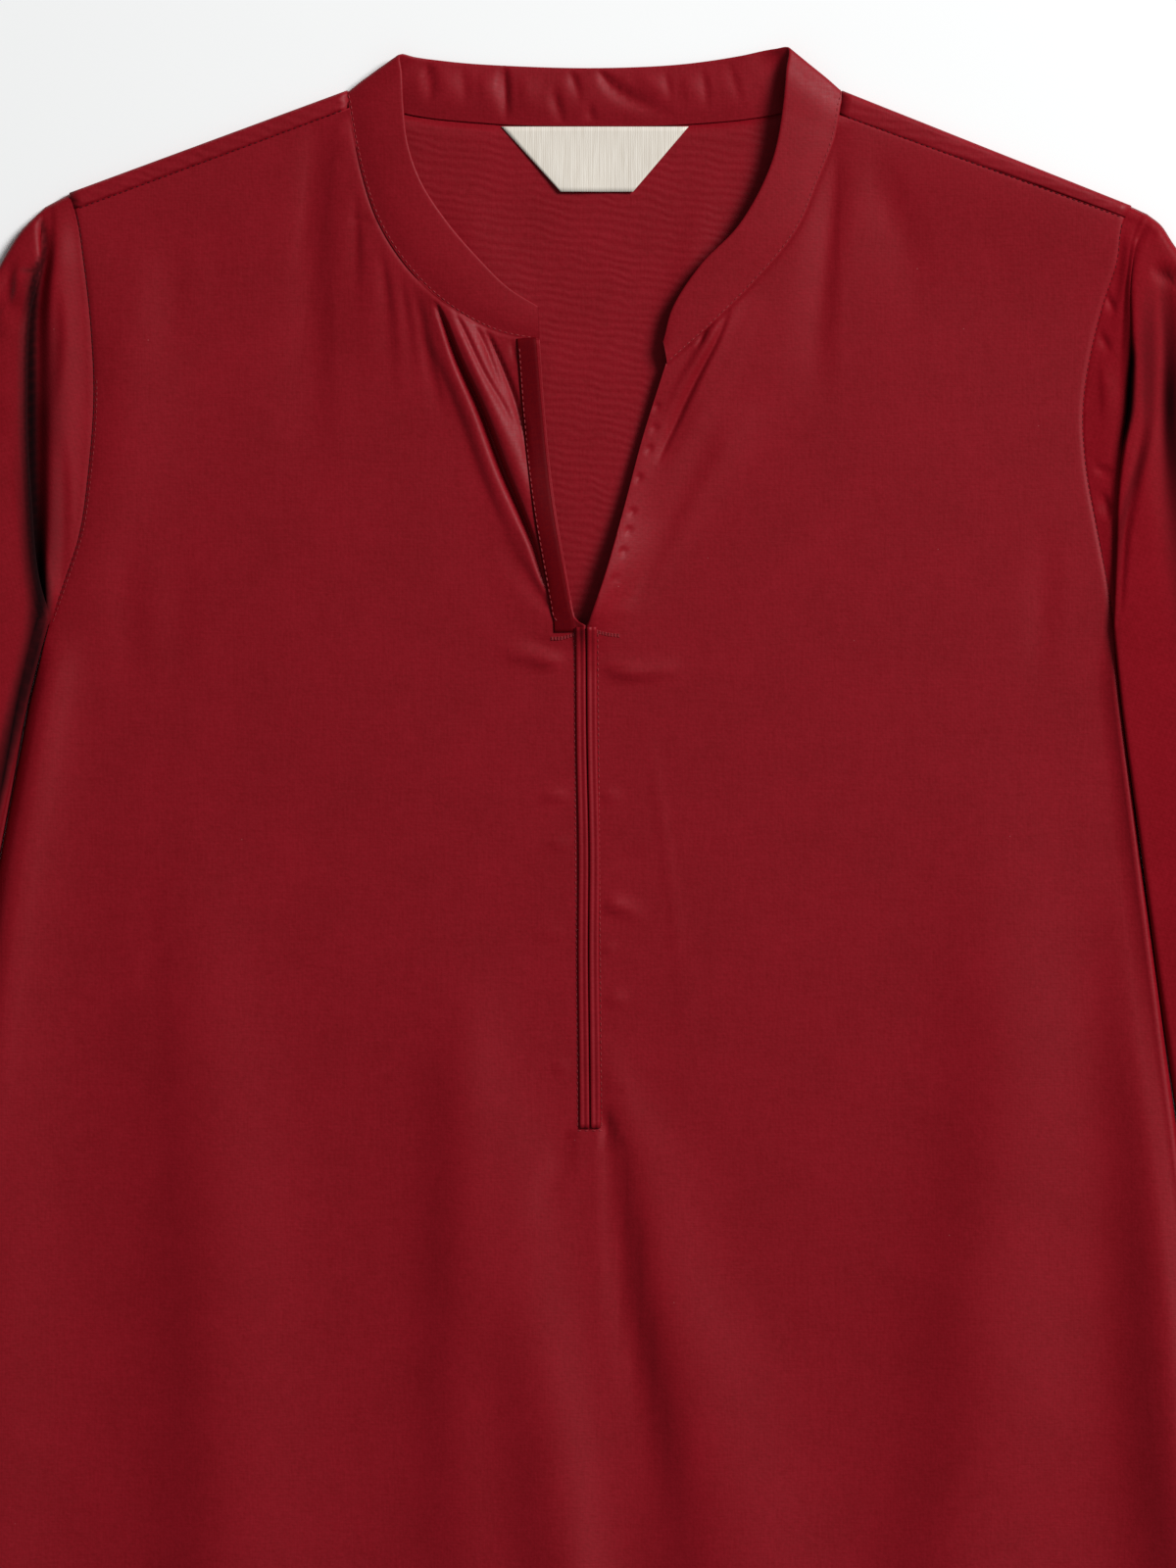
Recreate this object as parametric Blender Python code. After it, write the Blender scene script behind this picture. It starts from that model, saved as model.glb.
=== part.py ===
"""Kurta tunic laid face up on a table: one closed cloth wall for each piece that is cut and sewn.

X runs across the garment, Y runs up it from the hem to the neck, Z is the height over the table.
"right" and "left" are the wearer's, so the right half lies on the -X side. Outline tables are in
millimetres: across from the centre line, and down from the top corners of the neck band.
"""
import bpy
import numpy as np

# ---- driving sizes, in metres unless a name says mm -------------------------------------------
LENGTH = 1.000             # top corners of the neck band to the hem
CLOTH = 0.0012             # wall of the body and sleeve cloth
BAND_WALL = 0.0018         # the neck band is two layers with a stiffener
TRIM_WALL = 0.0010         # slit strip, welts and label
SEAM_GAP_MM = 0.5          # between the edges of two pieces sewn together
LAY_GAP = 0.0003           # between a piece and what it lies on
STRIP_WIDTH_MM = 7.0       # stitched strip beside the open slit
WELT_WIDTH_MM = 3.6        # each of the two narrow welts that close the slit
SLIT_GAP_MM = 0.6          # between the welts
SLIT_TOP_MM = 206.0        # where the open V ends and the welts begin
SLIT_END_MM = 385.5        # bottom of the welts
UNDERARM_MM = 205.0        # height at which the armholes end
SIDE_END_MM = 994.0        # the hem at the side seams; it dips to the full length at the centre
SHOULDER_RISE_MM = 4.4     # middle of the cloth at the shoulder seams, over the table
SHOULDER_SPREAD_MM = 30.0  # how far below the shoulder seams the front is still lifted
NECK_SPREAD_MM = 24.0      # how far from the neck band
SLIT_SPREAD_MM = 16.0      # how far from the open slit
SLIT_FADE_MM = 110.0       # length over which the lift beside the slit dies out
SIDE_PUFF_MM = 1.6         # the front swells this much beside its rolled side edges
SIDE_FADE_MM = 24.0        # length below the underarm over which the rolled edges begin
HEM_FADE_MM = 94.0         # length above the hem over which its rows begin to dip
MM = 0.001
HEM_MM = LENGTH / MM
REST_MM = (1.5 * CLOTH + LAY_GAP) / MM    # middle of a front wall that lies on the back
BACK_MM = 0.5 * CLOTH / MM                # middle of the back wall

# ---- outlines: (across, down) -----------------------------------------------------------------
SHOULDER_FOLD = {
    "right": [(-185.0, 51.8), (-88.0, 16.0)],
    "left": [(193.8, 56.4), (92.6, 16.1)],
}
SHOULDER_SEAM = {
    "right": [(-183.0, 57.6), (-87.2, 22.1)],
    "left": [(191.5, 60.6), (91.2, 24.3)],
}
ARMHOLE = {
    "right": [(-183.0, 57.6), (-179.9, 77.0), (-177.3, 101.2), (-176.4, 124.3), (-178.2, 150.0),
              (-182.0, 175.4), (-186.9, 190.0), (-192.2, UNDERARM_MM)],
    "left": [(191.5, 60.6), (188.7, 77.0), (184.1, 91.0), (180.3, 105.7), (176.8, 130.0),
             (177.8, 148.8), (181.5, 170.0), (185.4, 190.0), (188.0, UNDERARM_MM)],
}
SIDE = {
    "right": [(-192.2, UNDERARM_MM), (-199.5, 234.0), (-204.6, 262.0), (-210.0, 291.0),
              (-223.0, SLIT_END_MM), (-243.0, 542.0), (-269.0, 780.0), (-289.0, SIDE_END_MM)],
    "left": [(188.0, UNDERARM_MM), (190.0, 230.0), (197.0, 287.0), (206.5, 360.0),
             (210.0, SLIT_END_MM), (230.0, 542.0), (262.0, 780.0), (287.0, SIDE_END_MM)],
}
SLIT_EDGE = {
    "right": [(-17.2, 105.0), (-15.6, 128.0), (-12.3, 159.3), (-7.4, 188.7), (-1.2, SLIT_TOP_MM)],
    "left": [(27.7, 112.9), (19.6, 138.5), (12.6, 164.8), (5.2, 190.5), (-0.2, SLIT_TOP_MM)],
}
BACK_NECK_ENDS = [(-88.0, 18.4), (92.6, 18.5)]   # where the shoulder folds meet the band

# Neck band: each row is a straight section of it, from the neck seam to the band's free edge,
# each end as across, down, height (mm). It starts at the right front end of the band.
BAND_SECTIONS = [
    ("right end", (-17.3, 104.4, 4.3), (-17.9, 92.1, 5.2)),
    ("right front", (-31.0, 101.8, 4.5), (-28.0, 85.8, 6.4)),
    ("right front", (-47.6, 93.8, 4.8), (-38.8, 75.3, 7.4)),
    ("right curve", (-64.0, 79.0, 5.0), (-50.8, 61.3, 8.4)),
    ("right curve", (-75.0, 61.8, 5.0), (-59.7, 47.3, 9.2)),
    ("right rise", (-80.8, 44.5, 5.0), (-64.2, 34.0, 9.6)),
    ("right rise", (-84.1, 29.0, 5.0), (-65.7, 21.0, 9.8)),
    ("right rise", (-85.5, 20.5, 4.8), (-66.3, 9.0, 9.0)),
    ("right fold", (-86.2, 16.2, 2.9), (-66.8, 2.6, 5.8)),
    ("right fold", (-82.5, 17.9, 1.1), (-62.0, 3.2, 3.0)),
    ("back", (-66.0, 23.1, 0.9), (-49.0, 4.8, 2.0)),
    ("back", (-35.0, 26.8, 0.9), (-29.0, 6.2, 1.6)),
    ("back", (0.0, 27.7, 0.9), (2.0, 7.0, 1.5)),
    ("back", (35.0, 27.1, 0.9), (32.0, 5.8, 1.7)),
    ("back", (68.0, 23.3, 0.9), (54.0, 2.8, 2.4)),
    ("left fold", (86.8, 17.8, 1.1), (66.8, 0.4, 4.0)),
    ("left fold", (90.8, 15.9, 3.2), (71.2, 0.2, 7.4)),
    ("left rise", (90.0, 21.0, 5.0), (70.6, 8.0, 11.2)),
    ("left rise", (87.9, 32.4, 5.6), (69.0, 24.0, 12.2)),
    ("left rise", (82.3, 47.0, 5.8), (65.6, 40.3, 12.2)),
    ("left curve", (73.6, 66.6, 5.8), (54.0, 63.0, 11.6)),
    ("left curve", (60.0, 83.2, 5.6), (40.0, 77.7, 10.6)),
    ("left front", (44.0, 98.8, 5.4), (30.0, 93.0, 9.4)),
    ("left end", (28.2, 111.9, 5.0), (26.9, 104.5, 7.4)),
]

RIGHT_RISE_ROW = 7         # the sections at the top of the front, just before the band turns over
LEFT_RISE_ROW = 17

# Label: its two upper and its two lower corners.
LABEL_TOP = [(-30.4, 28.8), (35.4, 28.8)]
LABEL_BOTTOM = [(-9.8, 51.1), (16.1, 51.1)]

# Sleeves: the valley beside the armhole, the outer and the underarm edge, and the cuff.
VALLEY = {
    "right": [(-192.6, 55.4), (-196.2, 70.0), (-199.3, 90.0), (-200.2, 120.0), (-199.5, 157.5),
              (-197.6, 190.0), (-194.8, 207.5)],
    "left": [(199.6, 60.2), (197.6, 76.0), (195.4, 98.0), (194.6, 118.0), (191.8, 146.0),
             (190.2, 178.0), (190.3, 207.5)],
}
OUTER_EDGE = {
    "right": [(-192.6, 55.4), (-203.0, 70.0), (-213.0, 85.0), (-232.0, 120.0), (-253.0, 170.0),
              (-277.0, 240.0), (-302.0, 320.0), (-348.0, 478.0)],
    "left": [(199.6, 60.2), (210.0, 71.0), (221.0, 87.0), (241.0, 125.0), (260.0, 175.0), (282.0, 243.0),
             (306.0, 320.0), (348.0, 478.0)],
}
INNER_EDGE = {
    "right": [(-194.8, 207.5), (-201.6, 234.0), (-206.8, 262.0), (-212.3, 291.0), (-225.8, 385.5),
              (-243.0, 505.0)],
    "left": [(190.3, 207.5), (192.2, 230.0), (199.2, 287.0), (208.8, 360.0), (213.0, 385.5),
             (233.0, 505.0)],
}
# Depth of the valley and height of the roll beyond it, from the shoulder down to the underarm.
VALLEY_ROWS = {
    "right": [("shoulder", 0.00, 4.0, 5.0), ("head", 0.15, 2.6, 9.0), ("arm", 0.50, 2.3, 12.0),
              ("underarm", 1.00, 2.3, 8.0)],
    "left": [("shoulder", 0.00, 4.4, 5.0), ("head", 0.22, 4.6, 7.0), ("arm", 0.45, 2.3, 11.5),
             ("underarm", 1.00, 2.3, 7.0)],
}

# Beside the body a sleeve first stays low, then rises to its roll; each width in mm.
SLEEVE_LEDGE = {"right": (3.0, 7.0), "left": (0.2, 3.0)}
SIDE_ROLL_MM = {"right": 11.0, "left": 5.0}    # width of the front's rolled side edges
ROLL_RISE_MM = 9.0         # from the valley to the top of the roll beyond it
ROLL_FADE_MM = 170.0       # the roll dies out this far down the sleeve
SLEEVE_FLAT_MM = 3.2       # upper cloth of the sleeve at its edges, below the roll
SLEEVE_BELLY_MM = 1.2      # it is this much higher at the middle

# Rise of the front above where it rests: beside the neck band, and beside the open slit (mm).
FRONT_LIFT = {"right": (2.9, 2.2), "left": (3.4, 3.0)}

# Folds of the front, row by row: down, crest (across), width of the slope on the wearer's right of
# it, width of the slope on the wearer's left, height (mm). They deepen towards the hem.
FRONT_FOLDS = {
    "right side roll": [(205, -188, 5, 7, 0.0), (240, -194, 6, 8, 1.0), (300, -203, 7, 9, 1.4),
                        (400, -213, 10, 14, 2.4), (490, -218, 14, 18, 3.2), (HEM_MM, -262, 16, 16, 4.0)],
    "right skirt": [(270, -141, 20, 16, 0.0), (346, -138, 22, 18, 2.0), (395, -133, 22, 20, 3.0),
                    (490, -128, 22, 22, 3.9), (HEM_MM, -118, 40, 28, 6.2)],
    "right inner skirt": [(560, -74, 16, 16, 0.0), (700, -76, 18, 18, 1.6), (HEM_MM, -80, 22, 24, 3.0)],
    "cone, right side": [(310, -48, 20, 18, 0.0), (346, -44, 22, 18, 0.8), (395, -30, 24, 16, 2.0),
                         (444, -26, 26, 16, 3.0), (490, -17, 32, 15, 3.8), (535, -10, 34, 14, 4.4),
                         (HEM_MM, 4, 44, 26, 6.0)],
    "cone, left side": [(350, 5, 5, 6, 0.0), (368, 9, 5, 6, 0.9), (395, 19, 8.5, 9, 1.8),
                        (444, 30, 12, 12, 2.8), (490, 41, 16, 20, 3.8), (535, 49, 19, 22, 4.2),
                        (HEM_MM, 92, 30, 44, 6.2)],
    "left skirt": [(250, 138, 22, 22, 0.0), (346, 140, 22, 22, 1.4), (395, 144, 22, 24, 2.6),
                   (490, 141, 24, 28, 4.0), (535, 140, 25, 28, 4.6), (HEM_MM, 160, 34, 32, 6.4)],
    "left side roll": [(290, 192, 10, 8, 0.0), (330, 196, 10, 8, 0.8), (395, 203, 14, 8, 2.4),
                       (444, 206, 16, 10, 3.4), (490, 210, 20, 12, 4.8), (535, 218, 22, 10, 5.0),
                       (HEM_MM, 262, 24, 14, 5.2)],
    "right neck fold": [(78, -56, 7, 6, 0.0), (92, -50, 7, 6, 1.6), (190, -12, 6, 7, 0.6),
                        (204, -8, 6, 6, 0.0)],
    "left neck fold": [(86, 56, 5, 6, 0.0), (97, 50, 5, 7, 1.2), (150, 30, 6, 6, 0.6),
                       (168, 24, 6, 6, 0.0)],
    "left slit fold": [(126, 60, 9, 9, 0.0), (140, 50, 9, 9, 0.9), (202, 12, 8, 7, 0.5),
                       (216, 6, 7, 7, 0.0)],
}

# ---- grid sizes ---------------------------------------------------------------------------------
SIDE_STEPS = [0.0, 0.010, 0.026, 0.050]   # columns close to the side seam, as parts of the half width
SHOULDER_COLUMNS = 6
NECK_COLUMNS = 11
YOKE_ROWS = 12
PLACKET_ROWS = 9
SKIRT_ROWS = 18
BACK_ROWS = 15
TURN_ROWS = 6
BAND_STEPS = 92
BAND_ACROSS = 3
HEAD_ROWS = 3
SLEEVE_STEPS_MM = [1.6, 3.4, 6.0, 10.0, 17.0, 28.0, 46.0]   # rows of the roll beyond the valley
SLEEVE_ROWS = 13
SLEEVE_COLUMNS = 15
SLEEVE_BOTTOM = 7          # columns of its flat lower side
OUTER_STEPS = [0, 0.012, 0.03, 0.06]       # columns of the round edges of a sleeve, as parts of its width
INNER_STEPS = [0.95, 0.975, 0.99, 1]

CLOTH_RED = (0.190, 0.008, 0.013, 1.0)
LABEL_CREAM = (0.620, 0.545, 0.455, 1.0)


def smooth_path(rows, count):
    """Points along a smooth curve through the rows: a number of them, or their parts of the way."""
    rows = np.array(rows, float)
    chord = np.concatenate([[0], np.cumsum(np.linalg.norm(np.diff(rows, axis=0), axis=1))])
    if len(rows) > 2:
        slope = np.gradient(rows, chord, axis=0)
    else:
        slope = np.tile((rows[1] - rows[0]) / chord[-1], (2, 1))
    fine = np.linspace(0, chord[-1], 400)
    piece = np.clip(np.searchsorted(chord, fine, side="right") - 1, 0, len(rows) - 2)
    span = chord[piece + 1] - chord[piece]
    t = ((fine - chord[piece]) / span)[:, None]
    span = span[:, None]
    start = (2 * t**3 - 3 * t**2 + 1) * rows[piece] + (t**3 - 2 * t**2 + t) * span * slope[piece]
    curve = start + (3 * t**2 - 2 * t**3) * rows[piece + 1] + (t**3 - t**2) * span * slope[piece + 1]
    length = np.concatenate([[0], np.cumsum(np.linalg.norm(np.diff(curve, axis=0), axis=1))])
    wanted = np.linspace(0, 1, count) if np.isscalar(count) else np.array(count)
    return np.stack([np.interp(wanted * length[-1], length, axis) for axis in curve.T], 1)


def patch(top, bottom, start, end, across, down):
    """A grid filled in between four edges; across and down hold its lines' parts of the way."""
    down = np.array(down)[:, None, None]
    part = np.array(across)[None, :, None]
    sides = (1 - part) * start[:, None] + part * end[:, None]
    ends = (1 - down) * top[None] + down * bottom[None]
    upper = (1 - part) * top[0] + part * top[-1]
    lower = (1 - part) * bottom[0] + part * bottom[-1]
    return sides + ends - (1 - down) * upper - down * lower


def soft_step(value):
    value = np.clip(value, 0, 1)
    return value * value * (3 - 2 * value)


def distance_to(line, points):
    """Shortest way from each point to a curve, both in millimetres."""
    curve = smooth_path(line, 80)
    return np.sqrt(((points[..., None, :] - curve) ** 2).sum(-1)).min(-1)


def band_curve(count=600):
    """The band's two edges as one smooth run of sections: seam edge, then free edge."""
    return smooth_path([row[1] + row[2] for row in BAND_SECTIONS], count)


def beside_band(first, last, body_side):
    """Edge of a body panel along the band, from one section to another, a seam gap away."""
    run = band_curve()
    ends = [np.argmin(np.linalg.norm(run - np.array(BAND_SECTIONS[k][1] + BAND_SECTIONS[k][2]), axis=1))
            for k in (first, last)]
    line = run[ends[0]:ends[1] + 1, :2]
    way = np.gradient(line, axis=0)
    way /= np.linalg.norm(way, axis=1, keepdims=True)
    return line + body_side * SEAM_GAP_MM * np.stack([way[:, 1], -way[:, 0]], 1)


def front_neck(side):
    """Neck edge of one half of the front, from the shoulder seam to the slit."""
    fold_row = RIGHT_RISE_ROW if side == "right" else LEFT_RISE_ROW
    if side == "right":
        line = beside_band(0, fold_row, 1)[::-1]
    else:
        line = beside_band(fold_row, len(BAND_SECTIONS) - 1, 1)
    return line[line[:, 1] > SHOULDER_SEAM[side][-1][1]]


def back_neck():
    """Neck edge of the back, between the two shoulder folds."""
    line = beside_band(RIGHT_RISE_ROW + 3, LEFT_RISE_ROW - 3, -1)
    return np.concatenate([BACK_NECK_ENDS[:1], line[::40], BACK_NECK_ENDS[1:]])


def fold_height(points, rows):
    """One soft ridge, with its own slope on each side of the crest."""
    run = smooth_path(rows, 200)
    crest, right_width, left_width, rise = [np.interp(points[..., 1], run[:, 0], run[:, k])
                                            for k in range(1, run.shape[1])]
    off = points[..., 0] - crest
    return rise * np.exp(-((off / np.where(off < 0, right_width, left_width)) ** 2))


def front_height(points):
    """Height of the middle of the front cloth over the table (mm), for points (across, down)."""
    seams = np.array(SHOULDER_SEAM["right"] + SHOULDER_SEAM["left"][::-1])
    below_seam = np.maximum(points[..., 1] - np.interp(points[..., 0], seams[:, 0], seams[:, 1]), 0)
    lifts = [(SHOULDER_RISE_MM - REST_MM) * np.exp(-((below_seam / SHOULDER_SPREAD_MM) ** 2))]
    slit_fade = soft_step((SLIT_TOP_MM + SIDE_FADE_MM - points[..., 1]) / SLIT_FADE_MM)
    for side, (at_neck, at_slit) in FRONT_LIFT.items():
        near = np.exp(-((distance_to(front_neck(side)[::12], points) / NECK_SPREAD_MM) ** 2))
        lifts.append(at_neck * near)
        near = np.exp(-((distance_to(SLIT_EDGE[side], points) / SLIT_SPREAD_MM) ** 2))
        lifts.append(at_slit * near * slit_fade)
    total = sum(one**3 for one in lifts) ** (1 / 3)
    for rows in FRONT_FOLDS.values():
        total = total + fold_height(points, rows)
    sides = [np.interp(points[..., 1], *np.array(SIDE[side])[:, ::-1].T) for side in ("right", "left")]
    insides = [points[..., 0] - sides[0], sides[1] - points[..., 0]]
    near = [insides[k] / SIDE_ROLL_MM[side] for k, side in enumerate(("right", "left"))]
    nearest = np.minimum(*near)
    puff = SIDE_PUFF_MM * np.exp(-((nearest - 1) ** 2))
    roll = np.sqrt(1 - (1 - np.clip(nearest, 0, 1)) ** 2)
    below = soft_step((points[..., 1] - UNDERARM_MM) / SIDE_FADE_MM)
    return REST_MM + total * (1 - below) + (total + puff) * roll * below


def armhole(side, start_down, count):
    """Points along the armhole seam from a height on the shoulder down to the underarm."""
    curve = smooth_path(SHOULDER_FOLD[side][:1] + ARMHOLE[side], 200)
    part = np.linspace(0, 1, count) if np.isscalar(count) else np.array(count)
    down = start_down + part * (UNDERARM_MM - start_down)
    return np.stack([np.interp(down, curve[:, 1], curve[:, 0]), down], 1)


def world(points, height):
    """Millimetre outline points and heights as metres in the garment's frame."""
    return np.stack([points[..., 0] * MM, LENGTH / 2 - points[..., 1] * MM, height * MM], -1)


def shoulder_and_neck(side):
    """Top edge of one half of the front: the shoulder seam, then the neck seam."""
    neck = smooth_path(front_neck(side)[::12], NECK_COLUMNS + 1)
    arm_end = np.array(SHOULDER_SEAM[side][0]) + np.array([0, SEAM_GAP_MM])
    near = SIDE_STEPS + list(np.linspace(0.05, 1, SHOULDER_COLUMNS + 1)[1:])
    neck[0, 1] += SEAM_GAP_MM
    seam = [tuple(armhole(side, arm_end[1], 2)[0]), tuple(neck[0])]
    return np.concatenate([smooth_path(seam, near), neck[1:]])


def half_front(side):
    """Grid of one half of the front, from its side edge to the slit, and from the top to the hem."""
    top = shoulder_and_neck(side)
    across = np.concatenate([SIDE_STEPS, np.linspace(0.05, 1, len(top) - len(SIDE_STEPS) + 1)[1:]])
    slit = smooth_path(SLIT_EDGE[side], YOKE_ROWS + 1)
    slit[0] = top[-1]
    arm = armhole(side, top[0, 1], YOKE_ROWS + 1)
    underarm = arm[-1] + (slit[-1] - arm[-1]) * across[:, None]
    yoke = patch(top, underarm, arm, slit, across, np.linspace(0, 1, YOKE_ROWS + 1))
    grids = [yoke[:-1]]
    outward = -1 if side == "right" else 1
    rows = np.concatenate([
        np.linspace(UNDERARM_MM, SLIT_END_MM, PLACKET_ROWS + 1)[:-1],
        np.linspace(SLIT_END_MM, HEM_MM, SKIRT_ROWS + 1),
    ])
    edge = np.interp(rows, *np.array(SIDE[side])[:, ::-1].T)
    for index, down in enumerate(rows):
        closed = down >= SLIT_END_MM - 0.01
        centre_down = SLIT_TOP_MM if index == 0 else down
        centre = centre_line(centre_down) + (0 if closed else outward * SLIT_GAP_MM / 2)
        side_down = down - (HEM_MM - SIDE_END_MM) * soft_step(1 + (down - HEM_MM) / HEM_FADE_MM)
        start = np.array([edge[index], side_down])
        end = np.array([centre, centre_down])
        grids.append((start + (end - start) * across[:, None])[None])
    return np.concatenate(grids)


def centre_line(down):
    """The slit leans a little from the V to its bottom end (mm)."""
    return np.interp(down, [SLIT_TOP_MM, SLIT_END_MM], [-0.7, 0.7])


def material(name, colour, roughness):
    made = bpy.data.materials.new(name)
    made.use_nodes = True
    shader = made.node_tree.nodes["Principled BSDF"]
    shader.inputs["Base Color"].default_value = colour
    shader.inputs["Roughness"].default_value = roughness
    shader.inputs["Metallic"].default_value = 0.0
    return made


def cloth_piece(name, vertices, faces, wall, colour=CLOTH_RED, roughness=0.55):
    """A sheet through the middle of the cloth, thickened evenly to both sides."""
    mesh = bpy.data.meshes.new(name)
    mesh.from_pydata([tuple(v) for v in vertices], [], faces)
    mesh.validate()
    mesh.shade_smooth()
    piece = bpy.data.objects.new(name, mesh)
    bpy.context.scene.collection.objects.link(piece)
    piece.data.materials.append(material(name + "_cloth", colour, roughness))
    thicken = piece.modifiers.new("Wall", "SOLIDIFY")
    thicken.thickness = wall
    thicken.offset = 0.0
    return piece


def grid_faces(rows, columns, ring=False):
    """Quads of a grid whose vertices run along its rows; a ring closes each row on itself."""
    faces = []
    for row in range(rows - 1):
        for column in range(columns if ring else columns - 1):
            a = row * columns + column
            b = row * columns + (column + 1) % columns
            faces.append((a, b, b + columns, a + columns))
    return faces


def front_body():
    """The front: two halves round the slit that are one cloth below it."""
    halves = {side: half_front(side) for side in ("right", "left")}
    rows, columns = halves["right"].shape[:2]
    joined_from = YOKE_ROWS + PLACKET_ROWS
    vertices = []
    number = {}
    for side in ("right", "left"):
        placed = world(halves[side], front_height(halves[side]))
        for row in range(rows):
            for column in range(columns):
                if side == "left" and column == columns - 1 and row >= joined_from:
                    number[side, row, column] = number["right", row, column]
                    continue
                number[side, row, column] = len(vertices)
                vertices.append(placed[row, column])
    faces = []
    for side in ("right", "left"):
        for row in range(rows - 1):
            for column in range(columns - 1):
                corners = [(row, column), (row + 1, column), (row + 1, column + 1), (row, column + 1)]
                face = [number[(side,) + corner] for corner in corners]
                faces.append(face if side == "right" else face[::-1])
    cloth_piece("front_body", vertices, faces, CLOTH)
    return {side: world(halves[side], front_height(halves[side])) for side in halves}


def strip_on(name, panel, first_row, last_row, start_mm, width_mm, flip, trim_mm=0.0):
    """A narrow strip on a panel, made from the panel's points at its inner edge and moved out."""
    lift = CLOTH / 2 + LAY_GAP * 1.3 + TRIM_WALL / 2
    rows = []
    for row in range(first_row, last_row + 1):
        edge, inside = panel[row, -1], panel[row, -2]
        across = (inside - edge) / np.linalg.norm(inside - edge)
        steps = start_mm + width_mm * np.array([0, 0.35, 0.65, 1])
        rows.append(edge + across * steps[:, None] * MM + np.array([0, 0, lift]))
    rows = np.array(rows)
    way = rows[1] - rows[0]
    rows[0] += way * (trim_mm * MM / np.linalg.norm(way, axis=1, keepdims=True))
    faces = grid_faces(len(rows), 4)
    cloth_piece(name, rows.reshape(-1, 3), [f[::-1] for f in faces] if flip else faces, TRIM_WALL)


def shoulder_line(side, table, lower):
    """A line along the shoulder from the armhole to the neck, lowered by some millimetres."""
    start = armhole(side, table[side][0][1] + lower, 2)[0]
    end = np.array(table[side][-1]) + np.array([0, lower])
    return start + (end - start) * np.linspace(0, 1, SHOULDER_COLUMNS + 1)[:, None]


def back_body():
    """The back: flat on the table, and folded over at each shoulder up to the shoulder seam."""
    radius = (SHOULDER_RISE_MM - BACK_MM) / 2
    shoulder = SHOULDER_COLUMNS + 1
    neck = smooth_path(back_neck(), 2 * NECK_COLUMNS + 1)
    top = np.concatenate([
        shoulder_line("right", SHOULDER_FOLD, radius),
        neck[1:-1],
        shoulder_line("left", SHOULDER_FOLD, radius)[::-1],
    ])
    part = (top[:, 0] - top[0, 0]) / (top[-1, 0] - top[0, 0])
    edges = {}
    for side in ("right", "left"):
        arm = armhole(side, top[0 if side == "right" else -1, 1], YOKE_ROWS + 1)
        rows = np.linspace(UNDERARM_MM, SIDE_END_MM, BACK_ROWS + 1)
        across = np.interp(rows, *np.array(SIDE[side])[:, ::-1].T)
        edges[side] = np.concatenate([arm, np.stack([across, rows], 1)[1:]])
    hem = edges["right"][-1] + (edges["left"][-1] - edges["right"][-1]) * part[:, None]
    hem[:, 1] += (HEM_MM - SIDE_END_MM) * np.sin(np.pi * part)
    down = np.linspace(0, 1, len(edges["right"]))
    flat = patch(top, hem, edges["right"], edges["left"], part, down)
    rows, columns = flat.shape[:2]
    vertices = list(world(flat, np.full(flat.shape[:2], BACK_MM)).reshape(-1, 3))
    faces = [f[::-1] for f in grid_faces(rows, columns)]
    for side, first in (("right", 0), ("left", columns - shoulder)):
        last = [first + k for k in range(shoulder)]
        lines = []
        for angle in np.linspace(0, np.pi, TURN_ROWS + 1)[1:]:
            lowered = shoulder_line(side, SHOULDER_FOLD, radius * (1 - np.sin(angle)))
            lines.append((lowered, BACK_MM + radius * (1 - np.cos(angle))))
        lines.append((shoulder_line(side, SHOULDER_SEAM, 0), SHOULDER_RISE_MM))
        for line, height in lines:
            placed = world(line if side == "right" else line[::-1], np.full(shoulder, height))
            made = [len(vertices) + k for k in range(shoulder)]
            vertices.extend(placed)
            faces.extend((made[k + 1], made[k], last[k], last[k + 1]) for k in range(shoulder - 1))
            last = made
    cloth_piece("back_body", vertices, [f[::-1] for f in faces], CLOTH)


def neck_band():
    """The standing band, opened flat at the back and turned over at each shoulder."""
    both = band_curve(BAND_STEPS + 1)
    part = np.linspace(0, 1, BAND_ACROSS + 1)[None, :, None]
    lines = both[:, None, :3] * (1 - part) + both[:, None, 3:] * part
    lines[..., 2] = np.maximum(lines[..., 2], BAND_WALL / MM / 2)
    points = world(lines[..., :2], lines[..., 2])
    faces = [f[::-1] for f in grid_faces(len(both), BAND_ACROSS + 1)]
    cloth_piece("neck_band", points.reshape(-1, 3), faces, BAND_WALL)


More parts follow.
